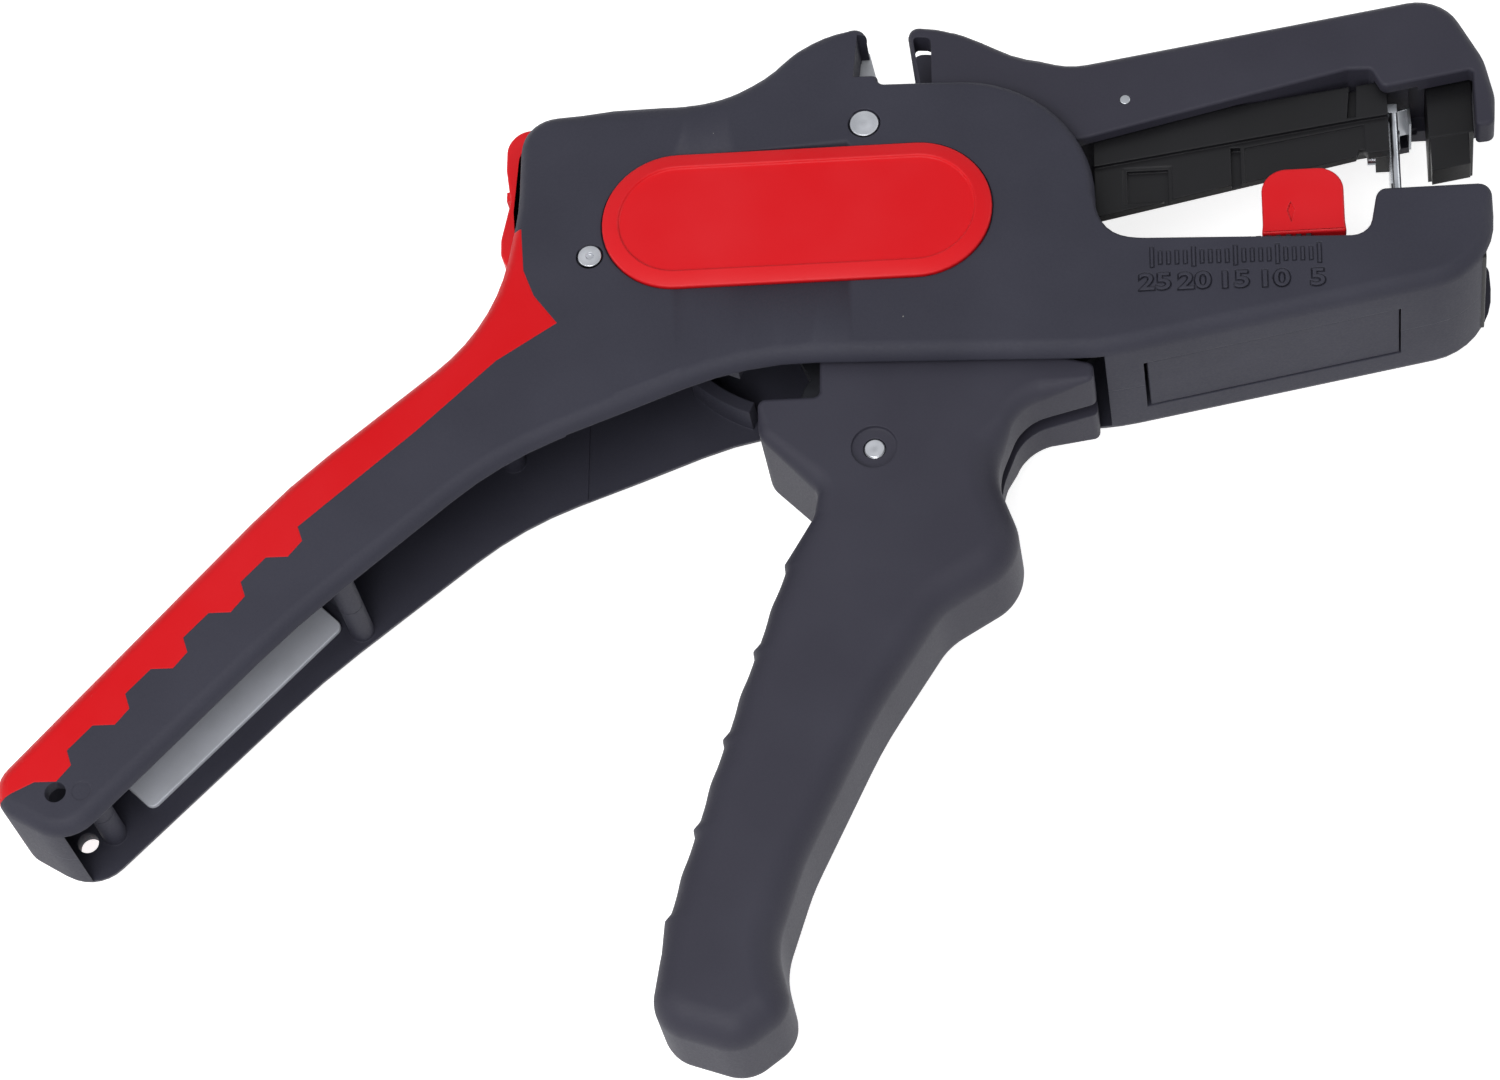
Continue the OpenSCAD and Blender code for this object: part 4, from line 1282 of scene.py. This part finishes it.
    def return_spring(self) -> None:
        """Torsion spring round the trigger's pivot, wound from round wire."""
        low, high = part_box("return_spring")
        wire, coil, turns, steps = self.spring_wire, self.spring_coil, self.spring_turns, 40
        rise = (high.z - low.z) / MM - 2 * wire
        curve = bpy.data.curves.new("return_spring_curve", "CURVE")
        curve.dimensions = "3D"
        curve.bevel_depth = wire * MM * 0.98
        curve.bevel_resolution = 4
        curve.use_fill_caps = True
        line = curve.splines.new("POLY")
        line.points.add(turns * steps)
        for i, point in enumerate(line.points):
            angle = 2 * math.pi * i / steps
            z = low.z / MM + wire + rise * i / (turns * steps)
            place = (coil * math.cos(angle), coil * math.sin(angle), z)
            point.co = (*(c * MM for c in place), 1.0)
        piece = make_object("return_spring_finished", curve_mesh(curve))
        shade(piece, 50)
        self.finisher.place(piece, WIRE, "housing", "return_spring")


@dataclass
class Trigger:
    """Moulded grip round a stamped lever that carries the pins, the roller and the cutter."""

    finisher: Finisher
    half: float = 8.0
    round_: float = 3.9
    rib_from: Point = (-1.4, -44.5)
    rib_to: Point = (-14.9, -89.4)
    rib_bow: float = 0.35
    foot: float = -105.6
    link_pin: Point = (9.25, -30.63)
    link_radius: float = 1.35
    recess_radius: float = 2.8
    lever_low: float = 2.2
    lever_thick: float = 2.0
    ribs: int = 5
    rib_height: float = 0.5
    rib_steps: int = 24
    nub_width: float = 0.05
    swell_width: float = 0.16
    swell_share: float = 0.4
    bar_half: float = 1.4

    def corners(self) -> list[Corner]:
        """Draw the grip's outline, counter-clockwise from the shoulder under the housing.

        Returns:
            Its corners.
        """
        edge, foot = self.round_, self.foot
        upper = [
            Corner(12, -14, 0, 0.6), Corner(2.6, -14, 1, 0.6), Corner(2.6, -23.4, 0.8, 0.6),
            Corner(-4.9, -23.4, 1, 0.6), Corner(-4.9, -28, 3, 1.6),
            Corner(2.4, -35.6, 1.8, 2.4), Corner(1.6, -38.8, 5, 3),
        ]
        lower = [
            Corner(-15.8, -94, 30, edge), Corner(-17, foot + 3.4, 4.8, edge),
            Corner(-6.4, foot - 0.2, 5, edge), Corner(-0.2, foot + 4.6, 4.2, edge),
            Corner(-2.2, -93, 10, edge), Corner(1, -82.4, 30, edge),
            Corner(9.3, -64.2, 60, edge), Corner(17.2, -51.4, 8, edge),
            Corner(27.6, -45, 6.4, edge), Corner(23.4, -33.6, 8, edge),
            Corner(26.6, -25.2, 6, 2.2), Corner(35.6, -22.8, 0.9, 0.6),
            Corner(35.6, -20.6, 0.9, 0.5),
        ]
        return upper + self.finger_edge() + lower

    def finger_edge(self) -> list[Corner]:
        """Draw the edge behind the fingers: a small nub at each rib and a soft swell between.

        Returns:
            Its points.
        """
        start, end = Vector(self.rib_from), Vector(self.rib_to)
        along = (end - start).normalized()
        across = Vector((along.y, -along.x))
        steps = self.rib_steps * (self.ribs - 1)
        points = []
        for i in range(steps + 1):
            phase = (i / self.rib_steps + 0.5) % 1 - 0.5
            nub = math.exp(-(phase / self.nub_width) ** 2)
            swell = math.exp(-((abs(phase) - 0.5) / self.swell_width) ** 2)
            place = start + (end - start) * i / steps
            place += across * self.rib_bow * math.sin(math.pi * i / steps)
            height = self.rib_height * (nub + self.swell_share * swell)
            points.append(Corner(place.x, place.y, 0.0, self.round_, height))
        return points

    def build(self) -> None:
        """Make the grip and dress what it carries."""
        self.grip()
        self.pin_in_recess()
        self.finisher.dress("lever_plate", STAMPED, 0.1)
        self.cutter()
        for node in ("lever_rivets", "cutter_rivets", "cam_roller", "roller_pin"):
            self.finisher.dress(node, WIRE, 0.1)

    def grip(self) -> None:
        """The grip with its soft edges, the lever's slot and the link pin's recess."""
        piece = stacked("trigger_grip_finished", outline(self.corners()),
            quarter_rings(MID_Z, self.half, 8))
        high = MID_Z + self.lever_low + self.lever_thick + 0.05
        bar_low, bar_high = MID_Z - self.bar_half, MID_Z + self.bar_half
        bar_slot = box("bar_slot", (4, -41, bar_low), (60, 60, bar_high))
        lever_slot = prism("lever_slot", [
            (22.2, -30), (22.2, 60), (-40, 60), (-40, -24.2), (4.5, -24.2), (4.5, -36), (15, -36),
        ], bar_low, high)
        top = MID_Z + self.half
        hole = lathe("hole", self.link_pin, [
            (self.link_radius + 0.05, MID_Z - self.half - 1),
            (self.link_radius + 0.05, top - 0.6),
            (self.recess_radius - 0.35, top - 0.6),
            (self.recess_radius - 0.1, top - 0.5),
            (self.recess_radius, top - 0.3),
            (self.recess_radius, top + 0.5),
        ])
        cut(piece, lever_slot, bar_slot, hole)
        shade(piece, 32)
        self.finisher.place(piece, TRIGGER, "trigger", "trigger_grip")

    def cutter(self) -> None:
        """Cutter blade whose pale edge stands beside the hump."""
        low, high = heights("cutter_blade")
        piece = prism("cutter_blade_finished", [
            (1, 18.6), (8.3, 18.7), (9.3, 19.4), (9.4, 22), (8.4, 26.4), (7, 26.2), (0.6, 22.6),
        ], low, high)
        round_edges(piece, 0.05)
        shade(piece)
        self.finisher.place(piece, CUTTER, "trigger", "cutter_blade")

    def pin_in_recess(self) -> None:
        """Bright link pin with chamfered ends."""
        low, high = heights("link_pin")
        r = self.link_radius
        profile = [
            (TIP, low), (r - 0.2, low), (r, low + 0.2), (r, high - 0.22), (r - 0.22, high),
            (r * 0.4, high), (TIP, high - 0.03),
        ]
        piece = lathe("link_pin_finished", self.link_pin, profile)
        shade(piece, 25)
        self.finisher.place(piece, turned("link_pin", self.link_pin), "trigger", "link_pin")


@dataclass
class LowerSlide:
    """Lower carriage with its blade, the pull bar and the length stop."""

    finisher: Finisher
    stop_left: float = 56.45
    stop_right: float = 66.35
    stop_foot: float = -4.55
    stop_top: float = 4.4
    stop_face: float = 20.4
    mark: Point = (59.93, -1.35)

    def build(self) -> None:
        """Dress every piece of the lower slide."""
        self.finisher.dress_all(
            ("lower_carriage", BLACK, 0.12), ("pull_bar", STAMPED, 0.1),
            ("pull_bar_rivets", WIRE, 0.1), ("lower_blade", GROUND, 0.05),
            ("lower_blade_screws", WIRE, 0.1),
        )
        self.stop()

    def stop(self) -> None:
        """Red tab with rounded shoulders, a flared foot, a pointed mark and its arm."""
        left, right, low, high = self.stop_left, self.stop_right, self.stop_foot, self.stop_top
        face, flare = self.stop_face, 0.15
        tab = stacked("length_stop_finished", outline([
            Corner(left - flare, low, 0.3, 0.35), Corner(right + flare, low, 0.3, 0.35),
            Corner(right, low + 1.4, 1.5, 0.35), Corner(right, high, 3.1, 0.3),
            Corner(left, high, 3.1, 0.3), Corner(left, low + 1.4, 1.5, 0.35),
        ]), quarter_rings(face - 0.85, 0.85, 4))
        arm = box("arm", (left, low - 0.65, 8.8), (right, low + 0.7, face - 1.65))
        combine(tab, "UNION", [arm])
        x, y = self.mark
        cut(tab, prism("mark", [
            (x - 0.46, y), (x, y - 1.7), (x + 0.46, y), (x, y + 1.2),
        ], face - 0.3, face + 1))
        shade(tab)
        self.finisher.place(tab, RED, "stop", "length_stop")


@dataclass
class UpperJaw:
    """Moving jaw with its steel core, clamp, carriage, blade, rod and spring."""

    finisher: Finisher
    rear: float = 36.2
    front: float = 72.2
    half: float = 6.7
    top_at: Point = (36.0, 12.45)
    slope: float = 0.13165

    def build(self) -> None:
        """Dress every piece of the upper jaw."""
        self.jaw()
        self.carriage()
        self.finisher.dress_all(
            ("jaw_core_plate", STAMPED, 0.1), ("jaw_side_pin", WIRE, 0.1),
            ("upper_clamp", BLACK, 0.2), ("upper_blade", GROUND, 0.05),
            ("upper_blade_screws", WIRE, 0.1), ("guide_rod", WIRE, 0.08),
            ("blade_spring", WIRE, 0.04),
        )

    def jaw(self) -> None:
        """Jaw with the dark pocket that takes the cutter's edge."""
        piece = copy_of("upper_jaw")
        bend(piece, JAW_BACK, 19.0, 20.2)
        round_edges(piece, 0.2)
        pocket = stacked("pocket", outline([
            Corner(15.2, 18.6, 0.2), Corner(16.5, 18.6, 0.2), Corner(16.4, 25.9, 0.9),
            Corner(14.1, 26.1, 0.5),
        ]), straight(15.3, 24.0))
        # Known fault: a thin slit of background still shows in this pocket from the front
        slit = box("slit", (12, 18, 15.6), (15.4, 25.8, 17.1))
        cut(piece, pocket, slit)
        shade(piece)
        self.finisher.place(piece, JAW, "jaw", "upper_jaw")

    def under_jaw(self, x: float) -> float:
        """Height of the carriage's top at a place along the jaw."""
        return self.top_at[1] + (x - self.top_at[0]) * self.slope

    def carriage(self) -> None:
        """Carriage: a slide under the jaw, with one flank that hangs down beside the wire."""
        rear, front, half, mid = self.rear, self.front, self.half, MID_Z
        top, above = self.under_jaw, mid + half + 1
        piece = prism("upper_carriage_finished", [
            (rear, 0.4), (68.1, 7.2), (68.5, 8.1), (69.1, 8.1), (69.6, 7.5), (front, 7.7),
            (front, top(front)), (rear, top(rear)),
        ], mid - half, mid + half)
        behind = prism("behind", [
            (rear - 1, -1), (front + 1, -1), (front + 1, 10.2), (70.6, 10.2),
            (70.6, top(70.6) - 2.6), (rear - 1, top(rear - 1) - 2.6),
        ], mid - half - 1, mid + half - 2)
        below = box("below", (67.9, 9, mid - half - 1), (front + 1, top(68) - 2.6, mid - 3.4))
        step = prism("step", [
            (rear - 1, -5), (rear - 1, 7.1), (68.4, 12), (front + 1, 12.6), (front + 1, -5),
        ], mid + half - 0.6, above)
        ledge = prism("ledge", [
            (54.6, -5), (54.6, 9.1), (69.3, 11.5), (69.3, -5),
        ], mid + half - 0.85, above)
        groove = box("groove", (52.9, -5, mid + half - 1.5), (54.1, 9.2, above))
        notch = prism("notch", [
            (67.2, 12.2), (68.3, 12.3), (68.6, 18), (67.8, 18),
        ], mid + half - 1.2, above)
        pocket = box("pocket", (40.2, 2.2, mid + half - 1.3), (45.2, 6.7, above))
        frame_line = box("frame_line", (39.7, 1.7, mid + half - 0.75), (45.7, 7.1, above))
        cut(piece, behind, below, step, ledge, groove, notch, frame_line, pocket)
        round_edges(piece, 0.1)
        shade(piece)
        self.finisher.place(piece, BLACK, "upper_slide", "upper_carriage")


@dataclass
class DepthSlider:
    """Red slider on the housing's rear wall."""

    finisher: Finisher
    wall: float = -35.0
    half: float = 6.1
    stem_low: float = 2.2
    stem_high: float = 7.2
    stem_half: float = 2.3
    catch_half: float = 4.4

    def build(self) -> None:
        """A hook over the housing's corner, a nub for the nail, a wavy tail and the stem."""
        x, edge = self.wall, 0.3
        inner = [
            Corner(x, -3.3, 0.3, edge), Corner(x, 4.7, 0.2, edge), Corner(x - 0.85, 5, 0.3, 0.1),
            Corner(x - 0.85, 5.9, 0.3, 0.1), Corner(x, 6.3, 0.2, edge), Corner(x, 8.5, 0.5, edge),
            Corner(x - 0.25, 9.2, 0.8, edge), Corner(x - 0.25, 13, 3, edge),
            Corner(x + 0.9, 15.7, 2.5, edge), Corner(x + 3.2, 16.95, 0.1, 0.1),
        ]
        outer = [
            Corner(x + 2, 17.3, 3, edge), Corner(x - 0.6, 17, 3, edge),
            Corner(x - 2.1, 15.1, 3, edge), Corner(x - 2.1, 11.6, 5, edge),
            Corner(x - 1.42, 7, 2, edge),
            Corner(x - 2.45, 1.6, 3, edge), Corner(x - 2.4, -0.6, 2, edge),
            Corner(x - 1.2, -3.3, 0.8, edge),
        ]
        # Known fault: this piece has doubled faces of no thickness over the hook's hollow
        piece = stacked("depth_slider_finished", outline(inner + outer),
            quarter_rings(MID_Z, self.half, 3))
        stem = box("stem", (x - 1.1, self.stem_low, MID_Z - self.stem_half),
            (x + 2.6, self.stem_high, MID_Z + self.stem_half))
        catch = box("catch", (x + 2.4, self.stem_low - 1.4, MID_Z - self.catch_half),
            (x + 3.8, self.stem_high + 1.4, MID_Z + self.catch_half))
        nub = box("nub", (x - 1.95, 7.2, MID_Z - 5.7), (x - 1.1, 8.5, MID_Z + 5.7))
        combine(piece, "UNION", [stem, catch, nub])
        shade(piece)
        self.finisher.place(piece, RED, "slider", "depth_slider")


def main() -> None:
    """Build the studio and the pliers."""
    logging.basicConfig(level=logging.INFO, format="%(message)s")
    PhotoCamera().build()
    Studio().build()
    finisher = Finisher()
    for assembly in (Housing, Trigger, LowerSlide, UpperJaw, DepthSlider):
        assembly(finisher).build()


if __name__ == "__main__":
    main()
